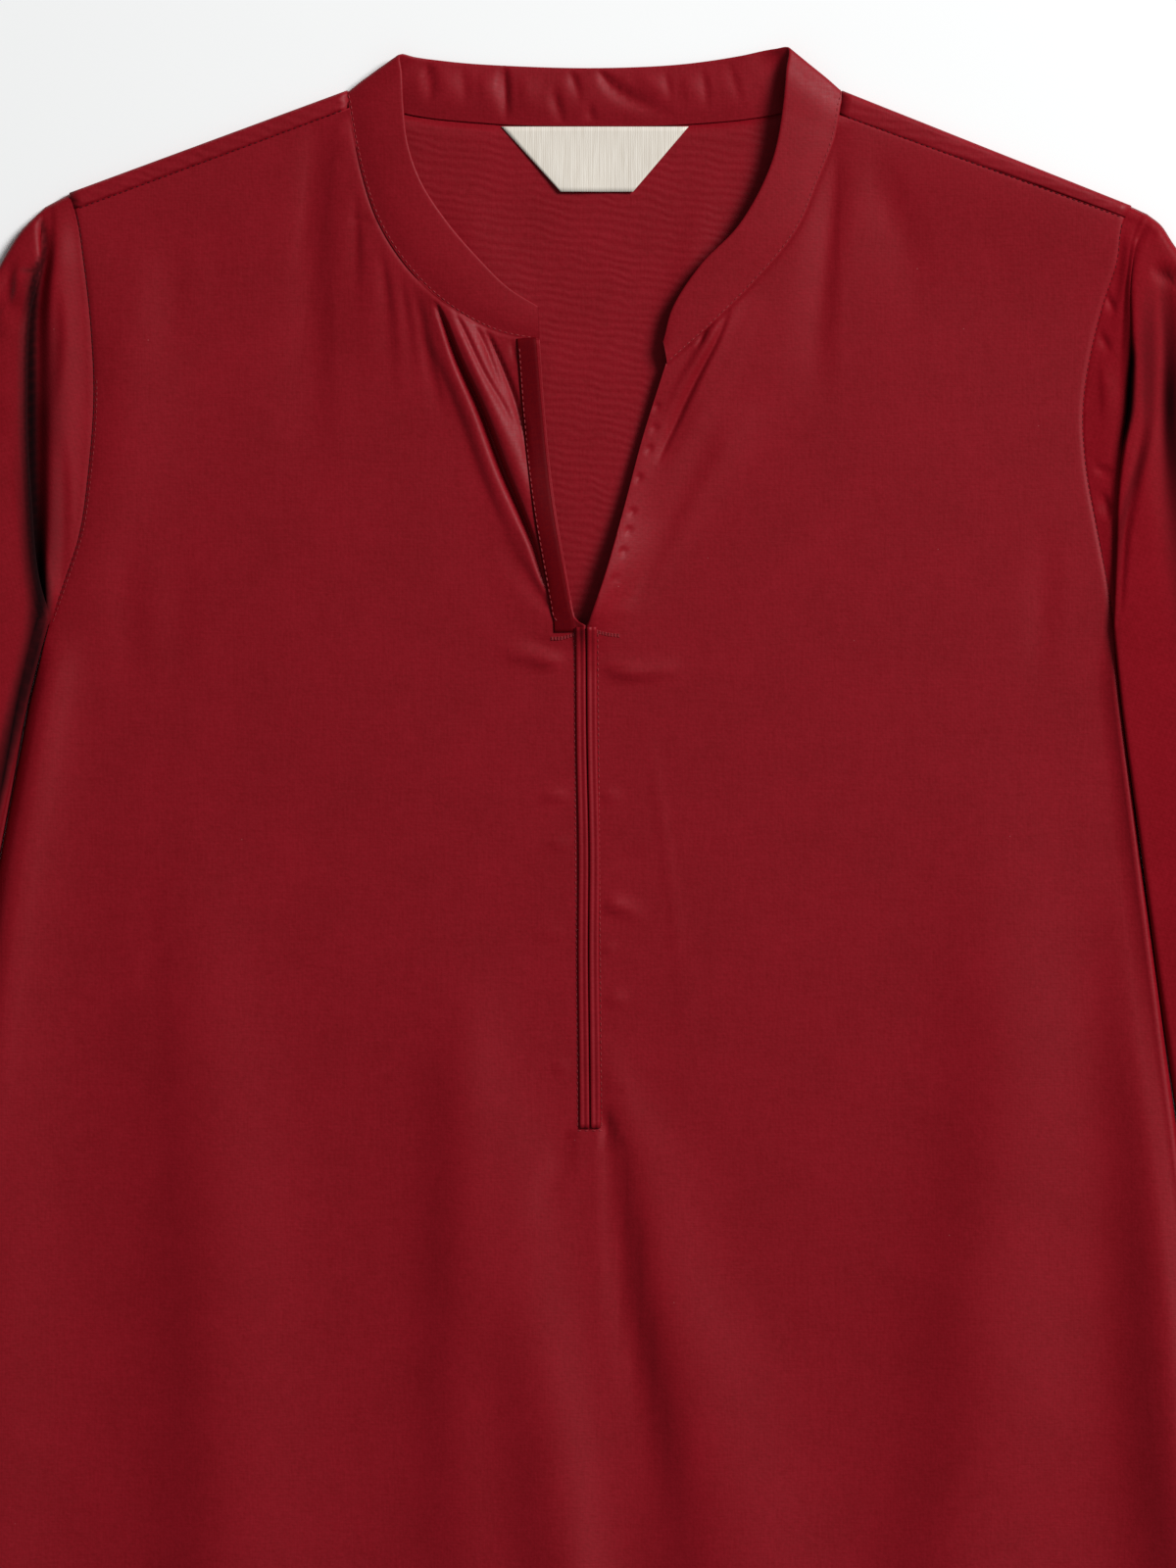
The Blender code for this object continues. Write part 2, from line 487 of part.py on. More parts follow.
def sleeve(side):
    """One sleeve: a flattened tube from the armhole, over a deep valley beside it, to the cuff."""
    outward = -1 if side == "right" else 1
    shift = np.array([outward * SEAM_GAP_MM, 0])
    middle = np.linspace(OUTER_STEPS[-1], INNER_STEPS[0], SLEEVE_COLUMNS)[1:-1]
    columns = np.concatenate([OUTER_STEPS, middle, INNER_STEPS])
    head = armhole(side, SHOULDER_FOLD[side][0][1], columns) + shift
    valley = smooth_path(VALLEY[side], columns)
    cuff = smooth_path([OUTER_EDGE[side][-1], INNER_EDGE[side][-1]], columns)
    reach = np.linalg.norm(valley[len(columns) // 2] - cuff[len(columns) // 2])
    parts = [0] + [step / reach for step in SLEEVE_STEPS_MM]
    parts += list(np.linspace(parts[-1], 1, SLEEVE_ROWS + 1)[1:])
    outer = smooth_path(OUTER_EDGE[side], parts)
    inner = smooth_path(INNER_EDGE[side], parts)
    body = patch(valley, cuff, outer, inner, columns, parts)
    cap = np.array([head + (valley - head) * k / HEAD_ROWS for k in range(HEAD_ROWS)])
    plan = np.concatenate([cap, body])
    height = sleeve_height(side, head, plan, parts, columns, reach)
    bottom_columns = np.linspace(1, 0, SLEEVE_BOTTOM + 2)[1:-1]
    rings = []
    for line, top in zip(plan, height):
        floor = np.stack([np.interp(bottom_columns, columns, line[:, k]) for k in range(2)], 1)
        upper = world(line, top)
        lower = world(floor, np.full(len(floor), BACK_MM))
        rings.append(np.concatenate([upper, lower]))
    rings = np.array(rings)
    faces = grid_faces(len(rings), rings.shape[1], ring=True)
    if side == "left":
        faces = [f[::-1] for f in faces]
    cloth_piece("sleeve_" + side, rings.reshape(-1, 3), faces, CLOTH)


def sleeve_height(side, head, plan, parts, columns, reach):
    """Heights of the upper cloth of a sleeve, row by row (mm)."""
    table = np.array([row[1:] for row in VALLEY_ROWS[side]])
    valley = np.interp(columns, table[:, 0], table[:, 1])
    roll = np.interp(columns, table[:, 0], table[:, 2])
    steps = np.linalg.norm(np.diff(plan, axis=1), axis=2)
    along = np.concatenate([np.zeros((len(plan), 1)), np.cumsum(steps, axis=1)], axis=1)
    to_body = along[:, -1:] - along
    ledge, ledge_rise = SLEEVE_LEDGE[side]
    at_head = front_height(head)
    heights = []
    for row in range(HEAD_ROWS):
        part = soft_step(row / HEAD_ROWS)
        heights.append(at_head + (valley - at_head) * part)
    for row, part in enumerate(parts):
        rise = soft_step(part * reach / ROLL_RISE_MM)
        rise = rise * soft_step((to_body[HEAD_ROWS + row] - ledge) / ledge_rise)
        fade = np.exp(-((part * reach / ROLL_FADE_MM) ** 2))
        flat = SLEEVE_FLAT_MM + SLEEVE_BELLY_MM * np.sin(np.pi * columns)
        crest = flat + (roll - flat) * fade
        heights.append(valley + (crest - valley) * rise)
    heights = np.array(heights)
    inside = np.minimum(along, to_body)
    rounding = np.maximum(0.45 * (heights - BACK_MM) + 1.0, 2.0)
    rounded = np.sqrt(1 - (1 - np.clip(inside / rounding, 0, 1)) ** 2)
    return BACK_MM + (heights - BACK_MM) * rounded


def label():
    """The woven label under the back of the band: a trapezoid with slanted ends."""
    rows, columns = 4, 7
    upper, lower = np.array(LABEL_TOP), np.array(LABEL_BOTTOM)
    part = np.linspace(0, 1, columns)[None, :, None]
    down = np.linspace(0, 1, rows)[:, None, None]
    ends = [(1 - down) * upper[k] + down * lower[k] for k in (0, 1)]
    points = (1 - part) * ends[0] + part * ends[1]
    height = (CLOTH + LAY_GAP + TRIM_WALL / 2) / MM
    placed = world(points, np.full((rows, columns), height))
    faces = [f[::-1] for f in grid_faces(rows, columns)]
    cloth_piece("label", placed.reshape(-1, 3), faces, TRIM_WALL, LABEL_CREAM, 0.7)


for old in list(bpy.data.objects):
    bpy.data.objects.remove(old, do_unlink=True)

back_body()
panels = front_body()
neck_band()
sleeve("right")
sleeve("left")
strip_on("slit_strip", panels["right"], 0, YOKE_ROWS, 0.1, STRIP_WIDTH_MM, True, 0.4)
for side_name in ("right", "left"):
    strip_on("welt_" + side_name, panels[side_name], YOKE_ROWS, YOKE_ROWS + PLACKET_ROWS, 0.1,
             WELT_WIDTH_MM, side_name == "right", 1.5)
label()
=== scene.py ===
# %% [markdown]
# # A kurta tunic, laid flat and face up
#
# A kurta is a long loose tunic. This one has a stand collar, an open V that runs on into a closed
# slit, plain sleeves and an A-line skirt. It lies on a pale table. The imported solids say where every
# sewn piece is. Each of them is replaced here by thin cloth of the same form, cut much finer, so that
# it can hold gathers, puckers and stitches.

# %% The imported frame
import math
import bmesh
import bpy
import numpy as np
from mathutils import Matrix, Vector

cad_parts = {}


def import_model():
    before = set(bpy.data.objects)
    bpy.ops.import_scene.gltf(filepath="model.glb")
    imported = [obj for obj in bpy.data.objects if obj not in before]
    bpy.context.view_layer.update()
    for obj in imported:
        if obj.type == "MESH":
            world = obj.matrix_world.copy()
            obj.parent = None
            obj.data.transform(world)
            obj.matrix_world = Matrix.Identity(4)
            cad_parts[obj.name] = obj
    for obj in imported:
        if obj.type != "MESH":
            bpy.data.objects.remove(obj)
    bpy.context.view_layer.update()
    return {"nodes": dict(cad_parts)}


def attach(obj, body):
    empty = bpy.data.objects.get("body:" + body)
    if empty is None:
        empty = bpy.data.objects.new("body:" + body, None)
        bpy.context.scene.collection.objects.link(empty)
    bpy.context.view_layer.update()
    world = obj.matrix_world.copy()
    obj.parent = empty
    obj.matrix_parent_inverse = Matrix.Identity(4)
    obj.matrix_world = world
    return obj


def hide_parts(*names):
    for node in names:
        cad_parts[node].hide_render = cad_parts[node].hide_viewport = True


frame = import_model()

print("solids:", sorted(frame["nodes"]))

# %% [markdown]
# ## Sizes and outlines
#
# A garment is drafted flat, so every outline here is a list of (across, down) in millimetres: across
# from the centre line, and down from the top corners of the neck band. "right" and "left" are the
# wearer's, so the right half lies on the -X side. The sizes are those of the solids, apart from a few
# millimetres here and there. The walls are thinner, because real rayon is a fraction of a millimetre
# thick.

# %% Driving sizes
MM = 0.001
SIDES = ("right", "left")
OUTWARD = {"right": -1, "left": 1}  # the way across from the centre line to each side
HEM_MM = 1000.0  # length of the garment
SIDE_END_MM = 994.0  # the hem at the side seams
UNDERARM_MM = 205.0
SLIT_TOP_MM = 206.0  # the open V ends and the welts begin
SLIT_END_MM = 385.5
CLOTH_MM = 0.5  # wall of the body and sleeve cloth
BACK_MM = 0.3  # middle of the back's wall over the table
SIDE_MM = 0.9  # middle of the front's wall at its side edges
REST_MM = 2.1  # middle of the front's wall where it lies on the back
SHOULDER_RISE_MM = 4.4  # middle of the cloth at the shoulder seams
OVERLAP_MM = 0.5  # how far a seamed edge runs on under its neighbour
HEM_DEPTH_MM = 20.0  # turned-up hem of the body
CUFF_DEPTH_MM = 15.0  # turned-up hem of a sleeve
STITCH_MM = 2.1  # from one stitch to the next
SLIT_LEAN_MM = (-0.7, 0.7)  # across of the closed slit's upper and lower end
SLIT_GAP_MM = 0.15  # half of the gap between its edges
HEM_HALF_MM = 288.0  # across of the hem's corners

# %% Outlines of the body
SHOULDER_FOLD = {
    "right": [(-185.0, 51.8), (-85.8, 15.2)],
    "left": [(193.8, 56.4), (90.6, 15.3)],
}
SHOULDER_SEAM = {
    "right": [(-183.0, 57.6), (-85.0, 21.3)],
    "left": [(191.5, 60.6), (89.6, 23.6)],
}
ARMHOLE = {
    "right": [
        (-183, 57.6), (-179.9, 77), (-177.3, 101.2), (-176.4, 124.3), (-178.2, 150), (-182, 175.4),
        (-186.9, 190), (-192.2, UNDERARM_MM)],
    "left": [
        (191.5, 60.6), (188.7, 77), (184.1, 91), (180.3, 105.7), (176.8, 130), (177.8, 148.8), (181.5, 170),
        (185.4, 190), (188, UNDERARM_MM)],
}
SIDE = {
    "right": [
        (-192.2, UNDERARM_MM), (-199.5, 234), (-204.6, 262), (-210, 291), (-223, SLIT_END_MM), (-243, 542),
        (-269, 780), (-289, SIDE_END_MM)],
    "left": [
        (188, UNDERARM_MM), (190, 230), (197, 287), (206.5, 360), (210, SLIT_END_MM), (230, 542), (262, 780),
        (287, SIDE_END_MM)],
}
SLIT_EDGE = {
    "right": [
        (-17.2, 105), (-15.6, 128), (-12.3, 159.3), (-7.4, 188.7), (-5.6, 198.5), (-4.4, 203.6),
        (-1.2, SLIT_TOP_MM)],
    "left": [(27.7, 112.9), (19.6, 138.5), (12.6, 164.8), (5.2, 190.5), (-0.2, SLIT_TOP_MM)],
}
BACK_NECK_ENDS = [(-85.8, 17.2), (90.6, 17.3)]
print("side seams:", [len(SIDE[side]) for side in SIDES], "points")

# %% Outlines of the neck band and the label
# Neck band: straight sections from the neck seam to the free edge, each end as across, down, height.
BAND_SECTIONS = [
    ("right end", (-17.3, 104.4, 4.3), (-17.9, 92.1, 5.2)),
    ("right front", (-31, 101.8, 4.7), (-28, 85.8, 5.7)),
    ("right front", (-47.6, 93.8, 5), (-38.8, 75.3, 6.2)),
    ("right curve", (-64, 79, 5.1), (-50.8, 61.3, 6.6)),
    ("right curve", (-75, 61.8, 5.1), (-59.7, 47.3, 7)),
    ("right rise", (-80.8, 44.5, 5.1), (-64.2, 34, 7.2)),
    ("right rise", (-84.1, 29, 5), (-65.7, 21, 7.2)),
    ("right rise", (-85.5, 20.5, 4.8), (-66.3, 9, 7)),
    ("right fold", (-86.2, 16.2, 2.9), (-66.8, 2.6, 5.4)),
    ("right fold", (-82.5, 17.9, 1.1), (-62, 3.2, 3)),
    ("back", (-66, 23.1, 0.9), (-49, 4.8, 2)),
    ("back", (-35, 26.8, 0.9), (-29, 6.2, 1.6)),
    ("back", (0, 27.7, 0.9), (2, 7, 1.5)),
    ("back", (35, 27.1, 0.9), (32, 5.8, 1.7)),
    ("back", (68, 23.3, 0.9), (54, 2.8, 2.4)),
    ("left fold", (86.8, 17.8, 1.1), (66.8, 0.4, 4)),
    ("left fold", (90.8, 15.9, 3.2), (71.2, 0.2, 6.2)),
    ("left rise", (90, 21, 4.9), (70.6, 8, 8.4)),
    ("left rise", (87.9, 32.4, 5.3), (69, 24, 8.8)),
    ("left rise", (82.3, 47, 5.4), (65.6, 40.3, 8.6)),
    ("left curve", (73.6, 66.6, 5.4), (54, 63, 8.2)),
    ("left curve", (60, 83.2, 5.4), (40, 77.7, 7.6)),
    ("left front", (44, 98.8, 5.5), (30, 93, 6.8)),
    ("left end", (28.2, 112.6, 5.6), (26.9, 104.5, 5.8)),
]
RIGHT_RISE_ROW = 7
LEFT_RISE_ROW = 17
LABEL_TOP = [(-30.9, 27.8), (35.9, 27.8)]
LABEL_BOTTOM = [(-9.8, 51.1), (16.1, 51.1)]
print(len(BAND_SECTIONS), "sections of neck band")

# %% Curves through the drafted points
CURVE_POINTS = 1200  # a curve is first drawn this fine, then read off evenly
SEAM_POINTS = 400  # a seam that cloth is measured against
BATCHES = 24  # distances are taken in batches, which spares memory
NECK_THINNING = 24  # one point in so many is enough for the neck edge


def soft_step(value):
    """0 below zero, 1 above one, and a soft slope between them."""
    value = np.clip(value, 0, 1)
    return value * value * (3 - 2 * value)


def bell(value):
    """1 at zero, fading out to both sides."""
    return np.exp(-(value**2))


def quarter_round(value):
    """0 at an edge, rising steeply and then gently to 1."""
    return np.sqrt(1 - (1 - np.clip(value, 0, 1)) ** 2)


def parts_of(count):
    """So many even parts of the way, or the parts that are given."""
    return np.linspace(0, 1, count) if np.isscalar(count) else np.array(count)


def square_to(line):
    """Unit vectors square to a line at each of its points."""
    way = np.gradient(line, axis=0)
    way /= np.linalg.norm(way, axis=1, keepdims=True)
    return np.stack([way[:, 1], -way[:, 0]], 1)


def way_along(points):
    """How far along a row of points each of them lies."""
    return np.concatenate([[0], np.cumsum(np.linalg.norm(np.diff(points, axis=0), axis=1))])


def smooth_path(rows, count):
    """Points along a smooth curve through the rows: a number of them, or their parts of the way."""
    rows = np.array(rows, float)
    chord = way_along(rows)
    if len(rows) > 2:
        slope = np.gradient(rows, chord, axis=0)
    else:
        slope = np.tile((rows[1] - rows[0]) / chord[-1], (2, 1))
    fine = np.linspace(0, chord[-1], CURVE_POINTS)
    piece = np.clip(np.searchsorted(chord, fine, side="right") - 1, 0, len(rows) - 2)
    span = chord[piece + 1] - chord[piece]
    t = ((fine - chord[piece]) / span)[:, None]
    span = span[:, None]
    start = (2 * t**3 - 3 * t**2 + 1) * rows[piece] + (t**3 - 2 * t**2 + t) * span * slope[piece]
    curve = start + (3 * t**2 - 2 * t**3) * rows[piece + 1] + (t**3 - t**2) * span * slope[piece + 1]
    length = way_along(curve)
    return np.stack([np.interp(parts_of(count) * length[-1], length, axis) for axis in curve.T], 1)


def distance_to(line, points, count=80):
    """Shortest way from each point to a curve (mm)."""
    curve = smooth_path(line, count)
    flat = points.reshape(-1, 2)
    nearest = [((part[:, None] - curve) ** 2).sum(-1).min(-1) for part in np.array_split(flat, BATCHES)]
    return np.sqrt(np.concatenate(nearest)).reshape(points.shape[:-1])


def world(points, height):
    """Millimetre points and heights as metres in the garment's frame."""
    return np.stack([points[..., 0] * MM, (HEM_MM / 2 - points[..., 1]) * MM, height * MM], -1)


# %% Edges that two pieces share
def band_curve(count=CURVE_POINTS):
    """Both edges of the band at once: six numbers for each point."""
    return smooth_path([row[1] + row[2] for row in BAND_SECTIONS], count)


def beside_band(first, last, offset):
    """A line along the band's seam edge, between two sections, offset towards the body (mm)."""
    run = band_curve()
    ends = [np.argmin(np.linalg.norm(run - np.array(BAND_SECTIONS[k][1] + BAND_SECTIONS[k][2]), axis=1))
            for k in (first, last)]
    line = run[ends[0]:ends[1] + 1, :2]
    return line + offset * square_to(line)


def front_neck(side, offset=-OVERLAP_MM):
    """Neck edge of one half of the front, from the shoulder seam to the slit."""
    if side == "right":
        line = beside_band(0, RIGHT_RISE_ROW, offset)[::-1]
    else:
        line = beside_band(LEFT_RISE_ROW, len(BAND_SECTIONS) - 1, offset)
    line = line[line[:, 1] > SHOULDER_SEAM[side][-1][1]]
    return line[np.linspace(0, len(line) - 1, len(line) // NECK_THINNING).astype(int)]


def armhole(side, start_down, count, inwards=0.0):
    """Points along the armhole seam from a height on the shoulder down to the underarm."""
    curve = smooth_path(SHOULDER_FOLD[side][:1] + ARMHOLE[side], SEAM_POINTS)
    down = start_down + parts_of(count) * (UNDERARM_MM - start_down)
    line = np.stack([np.interp(down, curve[:, 1], curve[:, 0]), down], 1)
    line[:, 0] -= inwards * OUTWARD[side]
    return line


def shoulder_line(side, table, lower, count):
    """A straight line across one shoulder, from the armhole to the neck, some way below the table's."""
    start = armhole(side, table[side][0][1] + lower, 2)[0]
    end = np.array(table[side][-1]) + np.array([0, lower])
    return start + (end - start) * np.linspace(0, 1, count)[:, None]


def side_seam(side, down):
    """Across of one side seam (mm)."""
    return np.interp(down, *np.array(SIDE[side])[:, ::-1].T)


def centre_line(down):
    """The closed slit leans a little from the V to its bottom end (mm)."""
    return np.interp(down, [SLIT_TOP_MM, SLIT_END_MM], SLIT_LEAN_MM)


# %% [markdown]
# ## The form of the front
#
# The front doesn't lie dead flat. It climbs to the neck band and the shoulder seams, its side edges
# roll down to the table, and long soft folds run down the skirt. A simulation would put such folds
# somewhere; a height over the table as a sum of named ridges puts them where this tunic has them.

# %% Main folds of the front
# They are those of the solids; only the skirt's are a little higher. One row each: down, crest
# (across), width of the slope on the wearer's right of it, width on the wearer's left, height (mm).
FRONT_FOLDS = {
    "right side roll": [
        (205, -188, 5, 7, 0), (240, -194, 6, 10, 1.2), (300, -203, 7, 14, 1.8), (400, -213, 10, 20, 3),
        (490, -218, 14, 24, 4), (HEM_MM, -262, 16, 22, 4.6)],
    "right skirt": [
        (270, -141, 20, 16, 0), (346, -139, 20, 20, 2), (395, -136, 18, 24, 3), (490, -133, 18, 30, 3.9),
        (HEM_MM, -124, 34, 34, 6.2)],
    "right inner skirt": [(560, -74, 16, 16, 0), (700, -76, 18, 18, 1.6), (HEM_MM, -80, 22, 24, 3)],
    "cone shoulder": [
        (330, -40, 10, 10, 0), (367, -45, 10, 10, 1.4), (400, -46, 10, 12, 2), (440, -47, 10, 14, 2.6),
        (490, -47, 11, 14, 2.6), (535, -44, 13, 14, 2.2), (700, -46, 16, 18, 1.6),
        (HEM_MM, -50, 20, 20, 1.4)],
    "cone, right side": [
        (310, -48, 20, 18, 0), (346, -44, 22, 18, 0.8), (395, -30, 22, 16, 2), (444, -24, 20, 16, 3),
        (490, -15, 17, 15, 3.8), (535, -9, 17, 14, 4.4), (HEM_MM, 4, 30, 26, 6)],
    "cone, left side": [
        (350, 5, 5, 6, 0), (368, 9, 5, 7, 0.7), (395, 17, 6, 14, 1.4), (444, 26, 8, 20, 2.8),
        (472, 33, 11, 26, 3.6), (507, 41, 14, 28, 4), (535, 46, 17, 32, 4), (HEM_MM, 90, 30, 48, 6.2)],
    "left skirt": [
        (250, 142, 20, 22, 0), (320, 147, 19, 24, 1.6), (346, 148, 19, 26, 2.6), (395, 147, 20, 28, 3.6),
        (444, 140, 21, 30, 4.4), (490, 141, 22, 32, 4.8), (535, 132, 22, 34, 5.2), (700, 138, 28, 34, 5.8),
        (HEM_MM, 156, 34, 34, 6.6)],
    "left side roll": [
        (290, 191, 9, 8, 0), (330, 194, 10, 8, 1.6), (367, 198, 11, 8, 3.4), (395, 202, 12, 8, 4.4),
        (444, 206, 13, 10, 6.2), (490, 210, 15, 11, 7.4), (535, 216, 16, 10, 7.6),
        (HEM_MM, 262, 24, 14, 6.4)],
    "right neck fold": [(78, -56, 7, 6, 0), (92, -50, 7, 6, 1.6), (190, -12, 6, 7, 0.6), (204, -8, 6, 6, 0)],
    "left neck fold": [(86, 56, 5, 6, 0), (97, 50, 5, 7, 1.2), (150, 30, 6, 6, 0.6), (168, 24, 6, 6, 0)],
    "left slit fold": [(126, 60, 9, 9, 0), (140, 50, 9, 9, 0.9), (202, 12, 8, 7, 0.5), (216, 6, 7, 7, 0)],
}
FRONT_LIFT = {"right": (2.9, 2.2), "left": (2.8, 2.2)}  # beside the band, and beside the open slit
SIDE_ROLL_MM = {"right": 6.0, "left": 1.8}  # width of the rounded side edges
SIDE_PUFF_MM = 1.6  # they swell a little
SIDE_FADE_MM = 24.0  # the side seams begin so softly
SHOULDER_SPREAD_MM = 30.0  # how far each climb reaches
NECK_SPREAD_MM = 24.0
SLIT_SPREAD_MM = 16.0
SLIT_FADE_MM = 60.0
print(len(FRONT_FOLDS), "folds")


# %% Height of the front
def fold_height(points, rows):
    """One soft ridge, with its own slope on each side of the crest."""
    run = smooth_path(rows, 200)
    crest, right_width, left_width, rise = [np.interp(points[..., 1], run[:, 0], run[:, k])
                                            for k in range(1, run.shape[1])]
    off = points[..., 0] - crest
    return rise * bell(off / np.where(off < 0, right_width, left_width))


def front_form(points):
    """Height of the middle of the front cloth over the table (mm), without its creases."""
    seams = np.array(SHOULDER_SEAM["right"] + SHOULDER_SEAM["left"][::-1])
    below_seam = np.maximum(points[..., 1] - np.interp(points[..., 0], seams[:, 0], seams[:, 1]), 0)
    lifts = [(SHOULDER_RISE_MM - REST_MM) * bell(below_seam / SHOULDER_SPREAD_MM)]
    slit_fade = soft_step((SLIT_TOP_MM + SIDE_FADE_MM - points[..., 1]) / SLIT_FADE_MM)
    for side, (at_neck, at_slit) in FRONT_LIFT.items():
        lifts.append(at_neck * bell(distance_to(front_neck(side), points) / NECK_SPREAD_MM))
        near = bell(distance_to(SLIT_EDGE[side], points) / SLIT_SPREAD_MM)
        lifts.append(at_slit * near * slit_fade)
    total = sum(one**3 for one in lifts) ** (1 / 3)  # the highest leads, with no edge where two meet
    for rows in FRONT_FOLDS.values():
        total = total + fold_height(points, rows)
    near = [(side_seam(side, points[..., 1]) - points[..., 0]) * OUTWARD[side] / SIDE_ROLL_MM[side]
            for side in SIDES]
    nearest = np.minimum(*near)
    puff = SIDE_PUFF_MM * bell(nearest - 1)
    below = soft_step((points[..., 1] - UNDERARM_MM) / SIDE_FADE_MM)
    rolled = SIDE_MM + (REST_MM - SIDE_MM + total + puff) * quarter_round(nearest)
    return (REST_MM + total) * (1 - below) + rolled * below


# %% [markdown]
# ## Creases, gathers and puckers
#
# These are too fine for the solids. Each is a line on the cloth with its own width and depth, deeper
# in the middle and fading out at both ends: troughs are below zero, ridges above. They crowd where
# cloth is eased into the neck band, fan out of the tacks at the bottom of the V, and pucker along the
# two lines of stitching beside the closed slit. No two are alike in length, depth or spacing.

# %% Creases that come from the neck, the shoulders and the armholes
# One row for each point of a crease: across, down, half width, height (mm). At its ends a crease has
# no height, so none is given there.
FRONT_CREASES = {
    "deep neck fold": [
        (-54.5, 90.5, 0.8), (-52.3, 95, 1, -1.8), (-46.6, 109.9, 1.3, -3.6), (-38.2, 128.8, 1.5, -4.3),
        (-29.8, 151.2, 1.5, -4.4), (-23.1, 167.3, 1.4, -3.6), (-19.4, 177, 1.2, -2.6), (-16.4, 187, 1, -1.6),
        (-13.4, 197, 0.9)],
    "lip beside it": [
        (-60, 96, 3), (-51, 112, 3.2, 0.8), (-42.5, 131, 3.6, 1.2), (-33.5, 155, 3.6, 1.1), (-24, 178, 3)],
    "roll beside it": [
        (-47, 98, 2), (-42, 109, 2.4, 0.4), (-33.6, 129, 2.8, 0.6), (-25.6, 150, 2.8, 0.5),
        (-19.6, 166, 2.4)],
    "gather 1": [
        (-47.8, 93.5, 0.8), (-45, 99, 0.9, -0.8), (-37, 116, 1.1, -0.9), (-29, 130, 1.2, -0.6),
        (-23, 144, 1.2)],
    "gather 2": [(-40.5, 98.3, 0.7), (-38, 103, 0.8, -0.7), (-32, 118, 0.9, -0.5), (-28, 128, 1)],
    "gather 3": [
        (-36.5, 100.2, 0.8), (-34.5, 104.5, 1, -1.1), (-30.5, 113.5, 1.2, -1.5), (-25.2, 127.8, 1.3, -1.6),
        (-22, 141.8, 1.3, -1.2), (-20.4, 154, 1.2, -0.4), (-19.5, 162, 1)],
    "gather 4": [(-27.2, 103.8, 0.7), (-26.6, 107, 0.8, -0.6), (-25.6, 113.5, 0.8)],
    "gather 5": [(-61.6, 86, 1.3), (-59, 98, 1.8, -0.8), (-56, 115.5, 2.5, -0.7), (-51.8, 133, 3)],
    "gather 6": [(-67, 80, 1.2), (-65, 92, 1.5, -0.5), (-63, 108, 2.2, -0.4), (-61, 126, 2.5)],
    "gather 7": [(-74, 71, 1.3), (-72.2, 84, 2, -0.7), (-71, 102, 3, -0.5), (-70, 124, 3)],
    "gather 8": [(-83, 50, 1.4), (-82.6, 68, 2.2, -0.6), (-83, 94.5, 3)],
    "armhole swell, right": [
        (-172, 66, 10), (-168, 90, 12, 1.2), (-166, 124, 13, 1.7), (-169, 155, 13, 1.7),
        (-178, 186, 11, 1.4), (-189, 212, 8)],
    "open edge, left": [
        (27, 108, 5), (18.6, 138.5, 6, 0.3), (11.6, 164.8, 6.5, 1.8), (5, 190.5, 6.5, 5), (1.5, 202, 5.5, 5),
        (0.8, 208, 5, 3), (0.6, 214, 4.5, 1.1), (0.6, 222, 4)],
    "shoulder corner": [
        (-94, 22.5, 2), (-95.5, 34, 2.8, -1.5), (-97, 52, 3.2, -1.9), (-97.5, 72, 4, -1.6),
        (-97.5, 92, 5.5, -1.1), (-98.5, 120, 8, -0.8), (-99, 156, 9)],
    "right chest 1": [(-147, 60, 5), (-147.5, 82, 5.5, -0.6), (-150, 118, 6)],
    "right chest 2": [(-168, 62, 4), (-168, 85, 4.5, -0.5), (-168.5, 116, 5)],
    "right chest 3": [(-134, 54, 3), (-133, 72, 4, -0.4), (-133, 98, 5)],
    "band pucker": [(-85.8, 61.3, 1), (-80, 61.3, 1.2, -0.5), (-75.3, 61.3, 1)],
    "right side 1": [(-163, 172, 4), (-163, 198, 4.5, -0.7), (-161, 236, 5)],
    "right side 2": [(-146, 170, 4), (-145, 198, 4.5, -0.5), (-147, 236, 5)],
    "left band fold": [
        (50.8, 92.8, 1), (45.9, 104, 1.4, -1.2), (40.6, 114.1, 1.6, -1.6), (34.7, 126, 1.7, -1.5),
        (30.8, 134.8, 1.6, -1.2), (27.7, 141.4, 1.5, -0.8), (24.5, 149, 1.4)],
    "left band ridge": [
        (47.5, 95, 1.5), (43, 104, 1.8, 0.7), (38, 112.5, 2, 0.8), (33, 121, 2, 0.5), (27.5, 133, 2)],
    "left short crease": [(42.7, 100.1, 0.9), (40.8, 103.5, 1, -0.8), (38.7, 107.6, 0.9)],
    "left diagonal 1": [
        (59, 86, 3), (50.5, 103, 4, -0.6), (43, 117, 5, -0.9), (32.5, 135, 5, -0.9), (21.5, 153, 4)],
    "left diagonal 2": [
        (47.3, 140, 4), (35, 157.5, 5, -0.8), (24.5, 178.5, 5, -1), (16.5, 194, 4, -0.7), (12.5, 201, 3)],
    "left shoulder 1": [
        (89.5, 28, 2), (87.5, 50, 4, -1.1), (84.7, 77, 5, -1.4), (82.3, 100, 6, -1), (81, 126, 7)],
    "left shoulder 2": [(102.6, 35, 3), (107, 50, 4, -0.9), (114, 68, 5, -0.7), (118.5, 96, 6)],
    "left side 1": [(164.5, 168, 3), (163, 196, 3.6, -0.7), (161, 232, 4)],
}
print(len(FRONT_CREASES), "creases above")

